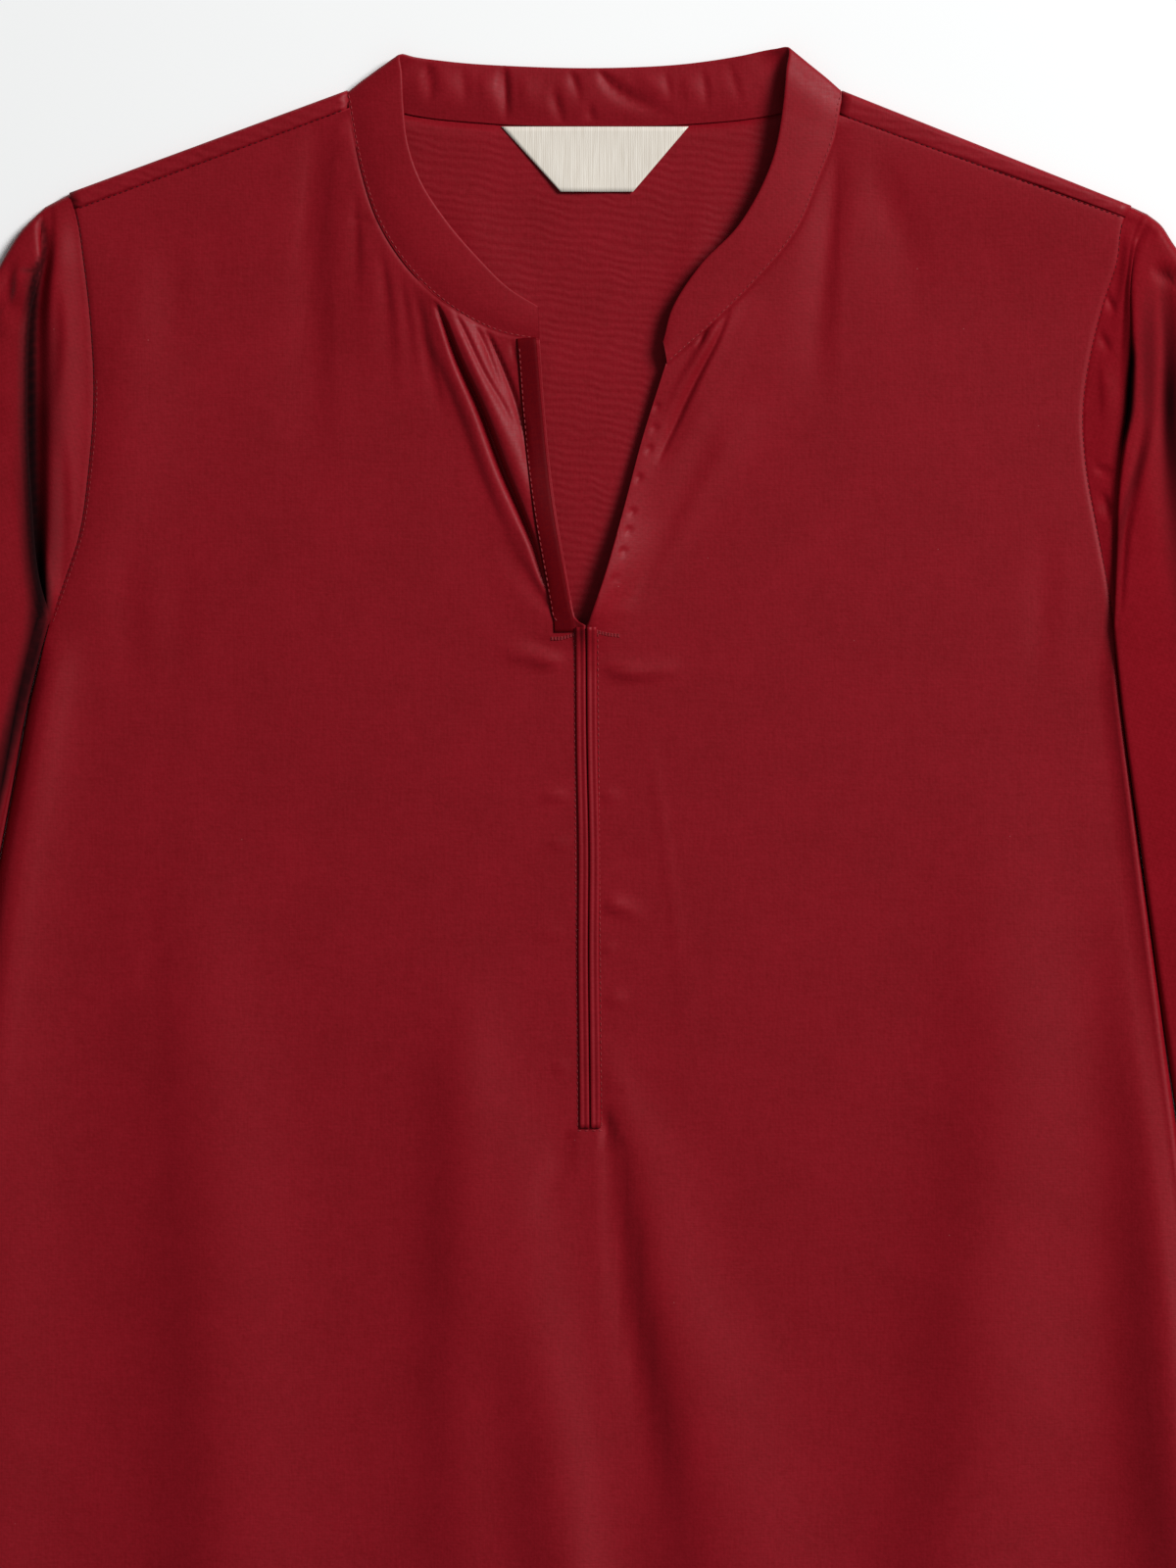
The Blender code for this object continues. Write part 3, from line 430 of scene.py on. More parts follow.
# %% Puckers beside the slit
FRONT_CREASES.update({
    "right tack pull": [(-7.5, 219, 1.6), (-14, 218.6, 2.4, 1.3), (-22, 217, 2.8, 1), (-36, 213, 3.2)],
    "right tack pull 2": [(-8, 213.6, 1.2), (-14, 213, 1.8, -0.6), (-23, 211, 2.2)],
    "left tack pull": [(4.5, 221.6, 1.6), (11, 222.6, 2.4, 1.3), (22, 222.6, 2.8, 1.1), (34, 220, 3.4)],
    "right tack fan": [(-9, 204, 1.4), (-14, 199, 2, -0.6), (-22, 188, 3, -0.6), (-32, 172, 3)],
    "right pucker 2": [(-6.5, 267.4, 0.9), (-11, 267.1, 1.4, 0.9), (-18.5, 266.4, 1.4)],
    "right pucker 3": [(-6.5, 284.6, 0.9), (-10, 284.2, 1.3, 0.7), (-14.5, 283.6, 1.2)],
    "right pucker 4": [(-7.2, 317, 1), (-12, 316, 1.6, 0.3), (-20, 314, 2)],
    "right pucker 5": [(-6.6, 364.6, 0.9), (-9, 364, 1.3, 0.7), (-13, 363, 1.4)],
    "left pucker 2": [(4.6, 265.4, 0.9), (7.5, 266.8, 1.3, 0.8), (11, 269.1, 1.2)],
    "left pucker 3": [(6, 292, 1), (13, 289, 2, -0.35), (20, 284, 2)],
    "left pucker 4": [(4.8, 305.6, 1), (8, 306, 1.8, 1.3), (13, 307.2, 2.2, 0.9), (20, 311, 2.4)],
    "left pucker 5": [(4.8, 321.2, 0.8), (7, 321.5, 1.2, 0.7), (10, 322.2, 1.1)],
    "left pucker 6": [(5.2, 340, 1.2), (9, 339.6, 2, 0.8), (15, 339, 2)],
    "left pucker 7": [(5.8, 371, 1), (9, 372.5, 1.4, -0.5), (14, 374, 1.8)],
    "facing edge": [
        (19.5, 236, 1.2), (24, 262.5, 1.3, 0.25), (28, 290, 1.3, 0.3), (31.5, 318.5, 1.3, 0.3),
        (34.5, 366, 1.3)],
})
print(len(FRONT_CREASES), "creases with the puckers")

# %% Creases of the skirt, and scallops beside the open slit
FRONT_CREASES.update({
    "cone trough, right": [
        (-5.3, 385, 1), (-7.6, 392, 1.5, -1.9), (-11.5, 402, 2.2, -1.2), (-17, 420, 3)],
    "cone trough, left": [
        (5.4, 378, 1), (7, 384, 1.4, -2.5), (9, 394, 1.8, -3.5), (11, 409, 2.6, -3),
        (13.5, 437, 3.6, -2.6), (19, 470, 5, -1.8), (25, 505, 6, -1), (29, 540, 7)],
    "right side crease": [
        (-157.9, 286, 1.2), (-155.8, 308.7, 1.5, -0.5), (-152.3, 358.4, 1.8, -0.6), (-154, 436, 2.5)],
    "lower crease 1": [(-190, 600, 4), (-186, 680, 6, -0.9), (-180, 800, 7)],
    "lower crease 2": [(60, 620, 5), (74, 720, 7, -1), (80, 860, 8)],
    "lower crease 3": [(210, 700, 4), (206, 800, 5, 0.8), (212, 930, 6)],
    "lower crease 4": [(-40, 700, 4), (-36, 800, 6, -0.8), (-30, 960, 7)],
})
# Small scallops of the turned edge on the wearer's left of the open slit: across, down.
SCALLOPS = [(24.7, 127.8), (23.8, 135.3), (21.9, 142.8), (18.2, 153.1), (15.8, 165.2), (14.4, 171.9),
            (12.6, 179.4), (9.6, 189.0)]
SCALLOP = [(-1.6, -0.8, 1.2), (0, 0, 1.5, -0.5), (1.8, 0.9, 1.2)]  # a crease, from its middle
scallops = {}
for index, (across, down) in enumerate(SCALLOPS):
    scallops[f"scallop {index}"] = [(across + x, down + y, *rest) for x, y, *rest in SCALLOP]
print(len(FRONT_CREASES) + len(scallops), "creases on the front")

# %% One crease
CREASE_STEP_MM = 0.5  # its line is followed in steps this long
CREASE_REACH = 3.5  # it is felt this many half widths away
CREASE_LEAN = 0.35  # creases lean down the garment: one wall steeper, the other gentler
STEEP_WAY = (0.82, -0.57)  # across and down, the way from a trough's bottom to its steeper wall


def crease(points, rows):
    """Height that one crease adds at each point (mm)."""
    rows = [(*row, 0)[:4] for row in rows]  # no height at the ends
    length = sum(math.dist(a[:2], b[:2]) for a, b in zip(rows, rows[1:]))
    run = smooth_path(rows, int(length / CREASE_STEP_MM) + 8)
    reach = CREASE_REACH * run[:, 2].max()
    low, high = run[:, :2].min(0) - reach, run[:, :2].max(0) + reach
    near = ((points > low) & (points < high)).all(-1)
    added = np.zeros(points.shape[:-1])
    if near.any():
        gaps = ((points[near][:, None] - run[:, :2]) ** 2).sum(-1)
        k = gaps.argmin(1)
        steeper = -np.sign(run[k, 3]) * ((points[near] - run[k, :2]) @ STEEP_WAY) / run[k, 2]
        width = run[k, 2] * (1 - CREASE_LEAN * np.clip(steeper, -1, 1))
        added[near] = run[k, 3] * np.exp(-gaps[np.arange(len(k)), k] / width**2)
    return added


def creases(points, table):
    """Height that a whole table of creases adds (mm)."""
    return sum(crease(points, rows) for rows in table.values())


# %% Seams pull the cloth down a little, and a turned-up hem lifts it
SEAM_DIP_MM = {"right armhole": 0.4, "left armhole": 0.7, "shoulder": 0.15, "neck": 0.3}
SEAM_HALF_WIDTH_MM = 0.8
HEM_STEP_MM = 0.35  # one more layer of cloth
HEM_SLOPE_MM = 1.2  # width of the step at the hem's stitching


def front_surface(points):
    """Height of the middle of the front cloth with everything on it (mm)."""
    height = front_form(points) + creases(points, FRONT_CREASES) + creases(points, scallops)
    dips = []
    for side in SIDES:
        seams = {side + " armhole": ARMHOLE[side], "shoulder": SHOULDER_SEAM[side],
                 "neck": front_neck(side, 0.0)}
        for seam, line in seams.items():
            away = distance_to(line, points, SEAM_POINTS) / SEAM_HALF_WIDTH_MM
            dips.append(SEAM_DIP_MM[seam] * bell(away))
    height = height - np.max(dips, axis=0)
    hem = hem_step(points[..., 1] - hem_down(points[..., 0]) + HEM_DEPTH_MM)
    return np.maximum(height + hem, SIDE_MM)


def hem_down(across):
    """The hem dips from the side seams to the centre (mm)."""
    part = np.clip(np.abs(across) / HEM_HALF_MM, 0, 1)
    return HEM_MM - (HEM_MM - SIDE_END_MM) * part**2


def hem_step(past):
    """A turned-up hem is one cloth thicker, from its stitching to the edge."""
    return HEM_STEP_MM * soft_step((past + HEM_SLOPE_MM / 2) / HEM_SLOPE_MM)


# %% [markdown]
# ## Cloth from an outline
#
# Every panel is first a flat net of points, as it would be on the cutting table. The net is fine
# where the cloth has small creases and coarse where it has none: the parts near the neck and the slit
# are cut in half once or twice. Only then is each point lifted to its height, and a Solidify modifier
# gives the sheet its thickness.

# %% Nets
FOLD_POINTS = 160  # along one black fold


def patch(top, bottom, start, end, across, down):
    """A grid filled in between four edges; across and down hold its lines' parts of the way."""
    down = np.array(down)[:, None, None]
    part = np.array(across)[None, :, None]
    sides = (1 - part) * start[:, None] + part * end[:, None]
    ends = (1 - down) * top[None] + down * bottom[None]
    upper = (1 - part) * top[0] + part * top[-1]
    lower = (1 - part) * bottom[0] + part * bottom[-1]
    return sides + ends - (1 - down) * upper - down * lower


def grid_faces(rows, columns, ring=False, first=0, flip=False):
    """Four-sided faces of a grid of points; with ring, the last column joins the first."""
    faces = []
    for row in range(rows - 1):
        for column in range(columns if ring else columns - 1):
            a = first + row * columns + column
            b = first + row * columns + (column + 1) % columns
            face = (a, b, b + columns, a + columns)
            faces.append(face[::-1] if flip else face)
    return faces


def cut_finer(net, zones):
    """Halves the edges of a flat net inside each zone: low across, low down, high across, high down."""
    for low_x, low_y, high_x, high_y in zones:
        edges = [edge for edge in net.edges
                 if all(low_x < v.co.x < high_x and low_y < v.co.y < high_y for v in edge.verts)]
        bmesh.ops.subdivide_edges(net, edges=edges, cuts=1, use_grid_fill=True)


def place(name, data):
    """A new object in the scene."""
    made = bpy.data.objects.new(name, data)
    bpy.context.scene.collection.objects.link(made)
    return made


def cloth(name, vertices, faces, material, wall_mm=CLOTH_MM, node=None):
    """A sheet through the middle of the cloth, thickened evenly to both sides."""
    mesh = bpy.data.meshes.new(name)
    mesh.from_pydata([tuple(v) for v in np.reshape(vertices, (-1, 3))], [], [tuple(f) for f in faces])
    mesh.validate()
    mesh.shade_smooth()
    piece = place(name, mesh)
    piece.data.materials.append(material)
    if wall_mm:
        wall = piece.modifiers.new("Wall", "SOLIDIFY")
        wall.thickness = wall_mm * MM
        wall.offset = 0.0
    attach(piece, "root")
    if node:
        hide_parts(node)
    return piece


def paint_fold_shade(piece, points, rows):
    """Paints shade into the black folds of a piece: how deep each vertex lies in them, as a colour attribute.
    """
    deepest = np.zeros(points.shape[:-1])
    for fold in rows.values():
        run = smooth_path(fold, FOLD_POINTS)
        gaps = ((points[..., None, :] - run[:, :2]) ** 2).sum(-1)
        k = gaps.argmin(-1)
        off = points[..., 0] - run[k, 0]
        width = np.where(off < 0, run[k, 2], run[k, 3])
        away = np.sqrt(np.take_along_axis(gaps, k[..., None], -1)[..., 0]) / width
        deepest = np.maximum(deepest, run[k, 4] * np.exp(-(away**3)))  # flat bottom, soft edge
    # painted shade: the light left in each fold, kept for the material to darken the colour by
    light = 1 - deepest.reshape(-1, 1)
    mark = piece.data.color_attributes.new("painted_fold_light", "FLOAT_COLOR", "POINT")
    mark.data.foreach_set("color", np.concatenate([light, light, light, light * 0 + 1], 1).ravel())


def flat_area(piece):
    """Area of the sheet through the middle of the cloth (m²)."""
    return sum(face.area for face in piece.data.polygons)


def tell(piece, layers=1):
    """Prints what a piece came to."""
    print(f"{piece.name}: {len(piece.data.polygons)} faces, {flat_area(piece) / layers:.5f} m² of cloth")


# %% [markdown]
# ## Materials
#
# The cloth is a woven viscose rayon in a fine twill, piece-dyed dark red. Rayon filament is smooth, so
# the cloth has a soft satin sheen rather than a shine: a rough dielectric with a sheen layer. The dye
# takes a little unevenly, single thicker threads run along the warp and weft, and a few specks of lint
# sit on it. In the deep folds of the sleeves hardly any light comes back; there painted shade takes the
# cloth's colour to nearly black. The cross-cut strip is painted darker, as painted shade for how light
# falls across its grain. The sewing thread is spun polyester, a shade lighter than the cloth; where a
# seam has sunk it, the thread is painted darker as painted shade. The label is a cotton tape with fine
# ribs.

# %% Colours and nodes
def linear(code):
    """An sRGB hex colour as linear red, green, blue and one."""
    parts = [int(code[k:k + 2], 16) / 255 for k in (1, 3, 5)]
    return tuple(c / 12.92 if c <= 0.04045 else ((c + 0.055) / 1.055) ** 2.4 for c in parts) + (1.0,)


def set_inputs(tree, node, inputs):
    """Each input takes a value or another node's output."""
    for key, value in inputs.items():
        if isinstance(value, bpy.types.NodeSocket):
            tree.links.new(value, node.inputs[key])
        else:
            node.inputs[key].default_value = value


def add_node(tree, kind, inputs=None, **settings):
    """A node with its settings, its values and its links."""
    node = tree.nodes.new("ShaderNode" + kind)
    for key, value in settings.items():
        setattr(node, key, value)
    set_inputs(tree, node, inputs or {})
    return node


def start_material(name):
    """A new material, its node tree and its shader."""
    material = bpy.data.materials.new(name)
    material.use_nodes = True
    tree = material.node_tree
    return material, tree, tree.nodes["Principled BSDF"]


# %% Twill and lint
WAVE_PERIOD = math.tau / 20  # length of one band of Blender's wave texture at scale 1
TWILL_MM = 1.1  # real twill lines are 0.35 mm apart, drawn coarser so that they show
THREAD_MM = 0.7  # slubby threads, real ones 0.25 mm
WARP_SCALE = (1 / (THREAD_MM * MM), 190.0, 190.0)  # fine across a thread, drawn out along it
WEFT_SCALE = (210.0, 1 / (THREAD_MM * MM), 210.0)


def twill_grain(tree, place, lean):
    """The grain of the cloth, turned with the piece (degrees), and its slubby threads alone."""
    turned = add_node(tree, "Mapping", {"Vector": place, "Rotation": (0, 0, math.radians(lean))})
    twill = add_node(tree, "TexWave", {
        "Vector": turned.outputs[0], "Scale": WAVE_PERIOD / (TWILL_MM * MM), "Distortion": 1.2,
        "Detail": 2.0, "Detail Scale": 3.0}, wave_type="BANDS", bands_direction="DIAGONAL")
    slubs = []
    for scale in WARP_SCALE, WEFT_SCALE:
        drawn_out = add_node(tree, "Mapping", {"Vector": turned.outputs[0], "Scale": scale})
        slubs.append(add_node(tree, "TexNoise", {
            "Vector": drawn_out.outputs[0], "Scale": 1.0, "Detail": 2.0, "Roughness": 0.6}))
    threads = add_node(tree, "Math", {k: yarn.outputs["Fac"] for k, yarn in enumerate(slubs)},
                       operation="ADD")
    grain = add_node(tree, "Math", {
        0: twill.outputs["Fac"], 1: 0.14, 2: threads.outputs[0]}, operation="MULTIPLY_ADD")
    return grain, threads


def lint_specks(tree, place):
    """Nothing on clean cloth, and a third on each of a few specks of lint."""
    lint_place = add_node(tree, "TexVoronoi", {"Vector": place, "Scale": 90.0, "Randomness": 1.0})
    lint_near = add_node(tree, "MapRange", {
        "Value": lint_place.outputs["Distance"], "From Min": 0.011, "From Max": 0.022, "To Min": 0.34,
        "To Max": 0.0})
    lint_pick = add_node(tree, "Math", {0: lint_place.outputs["Color"], 1: 0.62}, operation="GREATER_THAN")
    return add_node(tree, "Math", {0: lint_near.outputs[0], 1: lint_pick.outputs[0]}, operation="MULTIPLY")


# %% Woven rayon
CLOTH_RED = "#800C19"
CLOTH_DEEP = "#710812"  # the same dye where less light comes back


def woven_rayon(name, colour, deep, lean, ripples=0.0, folds=False, shine=0.2, sheen=0.03):
    """Satin-faced twill; lean turns its grain with the piece (degrees), ripples are fine slack waves.
    With folds, painted shade takes the cloth nearly black where the piece is marked as lying deep in a fold."""
    material, tree, shader = start_material(name)
    place = add_node(tree, "TexCoord").outputs["Object"]
    grain, threads = twill_grain(tree, place, lean)
    dye = add_node(tree, "TexNoise", {"Vector": place, "Scale": 40.0, "Detail": 5.0, "Roughness": 0.62})
    fibres = add_node(tree, "TexNoise", {"Vector": place, "Scale": 900.0, "Detail": 3.0, "Roughness": 0.7})
    mottle = add_node(tree, "Math", {
        0: dye.outputs["Fac"], 1: 0.65, 2: fibres.outputs["Fac"]}, operation="MULTIPLY_ADD")
    shade = add_node(tree, "Math", {
        0: grain.outputs[0], 1: 0.4, 2: mottle.outputs[0]}, operation="MULTIPLY_ADD")
    spread = add_node(tree, "MapRange", {"Value": shade.outputs[0], "From Min": 0.98, "From Max": 1.52})
    tint = add_node(tree, "Mix", {
        "Factor": spread.outputs[0], "A": linear(deep), "B": linear(colour)}, data_type="RGBA")
    lint = lint_specks(tree, place)
    surface = add_node(tree, "Mix", {
        "Factor": lint.outputs[0], "A": tint.outputs["Result"], "B": linear("#A86E6C")}, data_type="RGBA")
    # painted shade: in the marked folds the colour is mixed towards near black
    if folds:
        light = add_node(tree, "Attribute", attribute_name="painted_fold_light")
        surface = add_node(tree, "Mix", {
            "Factor": light.outputs["Fac"], "A": linear("#0A0001"),
            "B": surface.outputs["Result"]}, data_type="RGBA")
    rough = add_node(tree, "MapRange", {
        "Value": threads.outputs[0], "From Min": 0.7, "From Max": 1.3, "To Min": 0.44, "To Max": 0.56})
    if folds:
        rough = add_node(tree, "Mix", {
            "Factor": light.outputs["Fac"], "A": 1.0, "B": rough.outputs[0]}, data_type="FLOAT")
    bump = add_node(tree, "Bump", {"Height": grain.outputs[0], "Strength": 0.25, "Distance": 0.00012})
    if ripples:
        wave_place = add_node(tree, "Mapping", {"Vector": place, "Rotation": (0, 0, math.radians(8))})
        waves = add_node(tree, "TexWave", {
            "Vector": wave_place.outputs[0], "Scale": WAVE_PERIOD / (3.1 * MM), "Distortion": 5.0,
            "Detail": 1.0, "Detail Scale": 0.8}, wave_type="BANDS", bands_direction="Y")
        bump = add_node(tree, "Bump", {
            "Height": waves.outputs["Fac"], "Strength": 1.0, "Distance": ripples * MM,
            "Normal": bump.outputs[0]})
    set_inputs(tree, shader, {
        "Base Color": surface.outputs["Result"], "Roughness": rough.outputs[0], "Normal": bump.outputs[0],
        "IOR": 1.46, "Specular IOR Level": shine, "Specular Tint": linear("#FFD6DA"),
        "Sheen Weight": sheen, "Sheen Roughness": 0.4, "Sheen Tint": linear("#D0686A")})
    return material


# %% Sewing thread
def spun_thread(name, dark, light):
    """Spun polyester, two plies twisted together."""
    material, tree, shader = start_material(name)
    place = add_node(tree, "TexCoord").outputs["Object"]
    plies = add_node(tree, "TexWave", {
        "Vector": place, "Scale": WAVE_PERIOD / (0.5 * MM),
        "Distortion": 1.0}, wave_type="BANDS", bands_direction="DIAGONAL")
    uneven = add_node(tree, "TexNoise", {"Vector": place, "Scale": 420.0, "Detail": 1.0})
    tint = add_node(tree, "Mix", {
        "Factor": uneven.outputs["Fac"], "A": linear(dark), "B": linear(light)}, data_type="RGBA")
    rough = add_node(tree, "MapRange", {"Value": plies.outputs["Fac"], "To Min": 0.5, "To Max": 0.65})
    bump = add_node(tree, "Bump", {"Height": plies.outputs["Fac"], "Strength": 0.4, "Distance": 0.0001})
    set_inputs(tree, shader, {
        "Base Color": tint.outputs["Result"], "Roughness": rough.outputs[0], "Normal": bump.outputs[0],
        "IOR": 1.5, "Specular IOR Level": 0.15, "Specular Tint": linear("#FFD6DA")})
    return material


# %% Ribbed cotton tape
RIB_MM = 0.8  # real ribs are 0.5 mm apart, drawn coarser so that they show


def ribbed_tape():
    """Unbleached cotton tape, ribs running down it."""
    material, tree, shader = start_material("ribbed_cotton_tape")
    place = add_node(tree, "TexCoord").outputs["Object"]
    ribs = add_node(tree, "TexWave", {
        "Vector": place, "Scale": WAVE_PERIOD / (RIB_MM * MM), "Distortion": 2.2, "Detail": 3.0,
        "Detail Scale": 1.5}, wave_type="BANDS", bands_direction="X")
    long_place = add_node(tree, "Mapping", {"Vector": place, "Scale": (1300.0, 60.0, 60.0)})
    slubs = add_node(tree, "TexNoise", {"Vector": long_place.outputs[0], "Scale": 1.0, "Detail": 2.0})
    mixed = add_node(tree, "Math", {
        0: ribs.outputs["Fac"], 1: 0.3, 2: slubs.outputs["Fac"]}, operation="MULTIPLY_ADD")
    spread = add_node(tree, "MapRange", {"Value": mixed.outputs[0], "From Min": 0.25, "From Max": 0.9})
    tint = add_node(tree, "Mix", {
        "Factor": spread.outputs[0], "A": linear("#C2B8AA"), "B": linear("#DDD6CB")}, data_type="RGBA")
    rough = add_node(tree, "MapRange", {"Value": slubs.outputs["Fac"], "To Min": 0.7, "To Max": 0.85})
    bump = add_node(tree, "Bump", {"Height": mixed.outputs[0], "Strength": 0.3, "Distance": 0.0002})
    set_inputs(tree, shader, {
        "Base Color": tint.outputs["Result"], "Roughness": rough.outputs[0], "Normal": bump.outputs[0],
        "Sheen Weight": 0.1})
    return material


# %% Painted table top
def painted_board():
    """Smooth board with a matt off-white paint."""
    material, tree, shader = start_material("matt_painted_board")
    place = add_node(tree, "TexCoord").outputs["Object"]
    clouds = add_node(tree, "TexNoise", {"Vector": place, "Scale": 3.0, "Detail": 2.0})
    tint = add_node(tree, "Mix", {
        "Factor": clouds.outputs["Fac"], "A": linear("#F0F1F1"), "B": linear("#F3F4F4")}, data_type="RGBA")
    set_inputs(tree, shader, {"Base Color": tint.outputs["Result"], "Roughness": 0.8})
    return material


# %% The materials
rayon = woven_rayon("red_viscose_twill", CLOTH_RED, CLOTH_DEEP, 0.0)
rayon_inner = woven_rayon("red_viscose_twill_inside", CLOTH_RED, CLOTH_DEEP, 0.0, ripples=0.08)
rayon_right = woven_rayon("red_viscose_twill_right_sleeve", CLOTH_RED, CLOTH_DEEP, -19.0, folds=True,
                          shine=0.17)
rayon_left = woven_rayon("red_viscose_twill_left_sleeve", CLOTH_RED, CLOTH_DEEP, 19.0, folds=True,
                         shine=0.08)
# painted shade: the cross-cut strip's colours are darker than the cloth's, standing in for how light falls
# across its grain
rayon_cross = woven_rayon("red_viscose_twill_cross_cut", "#590409", "#4D030A", 84.0, shine=0.05,
                          sheen=0.0)
thread = spun_thread("spun_polyester_thread", "#76141B", "#90363A")
tack_thread = spun_thread("spun_polyester_thread_tack", "#70121A", "#862E32")
# painted shade: this thread is coloured much darker to stand for the shade in sunk seams
painted_shade_thread = spun_thread("spun_polyester_thread_painted_shade", "#2A0408", "#4A0C12")
tape = ribbed_tape()
print(len(bpy.data.materials), "materials")

# %% [markdown]
# ## The front
#
# One panel, cut open down the centre from the neck to the end of the slit and whole below it. The
# yoke part is stretched between the shoulder seam, the neck seam, the armhole and the slit; under the
# arms the net runs in straight rows to the hem. Its edges run on under the band by a seam allowance.

# %% Rows and columns of the front
EDGE_STEPS = [0, 0.0022, 0.005, 0.009, 0.015, 0.024]  # columns beside the side seam
SLIT_STEPS = [0.976, 0.988, 0.995, 1]  # and beside the slit
TOP_STEPS = [0, 0.004, 0.009, 0.016, 0.026]  # rows under the shoulder and neck seams
FRONT_COLUMNS = 49
YOKE_PARTS = np.linspace(0.04, 1, 43)  # the rest of the rows down to the underarm
PLACKET_ROWS = 49  # from the underarm to the slit's end
SKIRT_START_MM = 3.6  # from the slit's end to the next row
SKIRT_STEP_MM = 5.0
LOW_SKIRT_MM = 565.0  # from here down the rows are further apart
LOW_STEP_MM = 10.0
SIDE_CURVE_MM = 94.0  # the hem's corners rise over the last so much
CORNER_PART = 0.385  # where the shoulder ends and the neck begins
HEM_ROWS_MM = [-3, -1.2, -0.6, 0, 0.6, 1.2, 4, 8, 12, 16, 18.5, 19.5, HEM_DEPTH_MM]  # from the stitching


def front_columns():
    """Parts of the way across one half, and which of them meets the corner of the neck."""
    middle = np.linspace(EDGE_STEPS[-1], SLIT_STEPS[0], FRONT_COLUMNS)
    corner = np.argmin(np.abs(middle - CORNER_PART))
    return np.concatenate([EDGE_STEPS[:-1], middle, SLIT_STEPS[1:]]), corner + len(EDGE_STEPS) - 1


def front_top(side, columns, corner):
    """Top edge of one half: along the shoulder seam, then along the neck seam."""
    neck_part = (columns[corner:] - columns[corner]) / (1 - columns[corner])
    neck = smooth_path(front_neck(side), neck_part)
    start = armhole(side, SHOULDER_SEAM[side][0][1], 2)[0]
    seam = smooth_path([tuple(start), tuple(neck[0])], columns[:corner + 1] / columns[corner])
    return np.concatenate([seam, neck[1:]])


def hem_rows(start, end, step):
    """Rows down to a turned-up hem, close together at its stitching and at its edge (mm)."""
    line = end - HEM_DEPTH_MM
    return np.concatenate([np.arange(start, line - 5, step), line + np.array(HEM_ROWS_MM)])


# %% One half of the front, flat
JUST_ABOVE_MM = 0.01  # rows so little above the slit's end count as its end


def half_front(side):
    """Flat net of one half of the front, from the side seam to the centre."""
    columns, corner = front_columns()
    top = front_top(side, columns, corner)
    parts = np.concatenate([TOP_STEPS, YOKE_PARTS])
    slit = smooth_path(SLIT_EDGE[side], parts)
    slit += (top[-1] - slit[0]) * (1 - parts[:, None]) ** 6
    arm = armhole(side, top[0, 1], parts)
    underarm = arm[-1] + (slit[-1] - arm[-1]) * columns[:, None]
    grids = [patch(top, underarm, arm, slit, columns, parts)[:-1]]
    placket = np.linspace(UNDERARM_MM, SLIT_END_MM, PLACKET_ROWS)
    skirt = np.arange(SLIT_END_MM + SKIRT_START_MM, LOW_SKIRT_MM - SKIRT_STEP_MM, SKIRT_STEP_MM)
    rows = np.concatenate([placket, skirt, hem_rows(LOW_SKIRT_MM, HEM_MM, LOW_STEP_MM)])
    edge = side_seam(side, rows)
    for index, down in enumerate(rows):
        centre_down = SLIT_TOP_MM if index == 0 else down
        gap = OUTWARD[side] * SLIT_GAP_MM if down < SLIT_END_MM - JUST_ABOVE_MM else 0
        bend = soft_step((down - (HEM_MM - SIDE_CURVE_MM)) / SIDE_CURVE_MM)
        side_down = down - (HEM_MM - SIDE_END_MM) * bend
        start = np.array([edge[index], side_down])
        end = np.array([centre_line(centre_down) + gap, centre_down])
        line = start + (end - start) * columns[:, None]
        if index > 0:
            line[:, 1] = centre_down - (centre_down - side_down) * (1 - columns) ** 2
        grids.append(line[None])
    return np.concatenate(grids)


# %% The front panel
SHARP_FOLD = [(-54.5, 90.5), (-46.6, 109.9), (-38.2, 128.8), (-29.8, 151.2), (-23.1, 167.3),
              (-16.4, 187.0), (-13.0, 198.0)]
SHARP_REACH_MM = 3.6
MEET_MM = 0.05  # points of the two halves this close become one
FINE_ZONES = [(-92, 40, -6, 206), (3, 84, 62, 206), (-30, 207, 35, 392),
              (-54, 86, -8, 199), (10, 92, 52, 198)]


def front_panel():
    """Both halves joined below the slit, cut finer where the creases are, and lifted to their height."""
    net = bmesh.new()
    for side in SIDES:
        grid = half_front(side)
        rows, columns = grid.shape[:2]
        made = [net.verts.new((x, y, 0)) for x, y in grid.reshape(-1, 2)]
        for face in grid_faces(rows, columns, flip=side == "right"):
            net.faces.new([made[k] for k in face])
    closed = [v for v in net.verts if v.co.y >= SLIT_END_MM - JUST_ABOVE_MM and abs(v.co.x) < 2]
    bmesh.ops.remove_doubles(net, verts=closed, dist=MEET_MM)
    cut_finer(net, FINE_ZONES)
    corners = list(net.verts)
    away = distance_to(SHARP_FOLD, np.array([v.co[:2] for v in corners]), 200)
    near = {v for v, gap in zip(corners, away) if gap < SHARP_REACH_MM}
    edges = [edge for edge in net.edges if all(v in near for v in edge.verts)]
    bmesh.ops.subdivide_edges(net, edges=edges, cuts=1, use_grid_fill=True)
    net.verts.index_update()
    plan = np.array([v.co[:2] for v in net.verts])
    faces = [[v.index for v in face.verts] for face in net.faces]
    net.free()
    return cloth("front_panel", world(plan, front_surface(plan)), faces, rayon, node="front_body")


front = front_panel()
tell(front)

# %% [markdown]
# ## The back
#
# The back lies on the table. At each shoulder it turns over and comes forward to the shoulder seam,
# so the seam lies a little in front of the fold, as a tailor sets it. Its inside shows through the
# open neck, where the slack cloth has fine ripples. Under it the cloth has a few shallow creases.

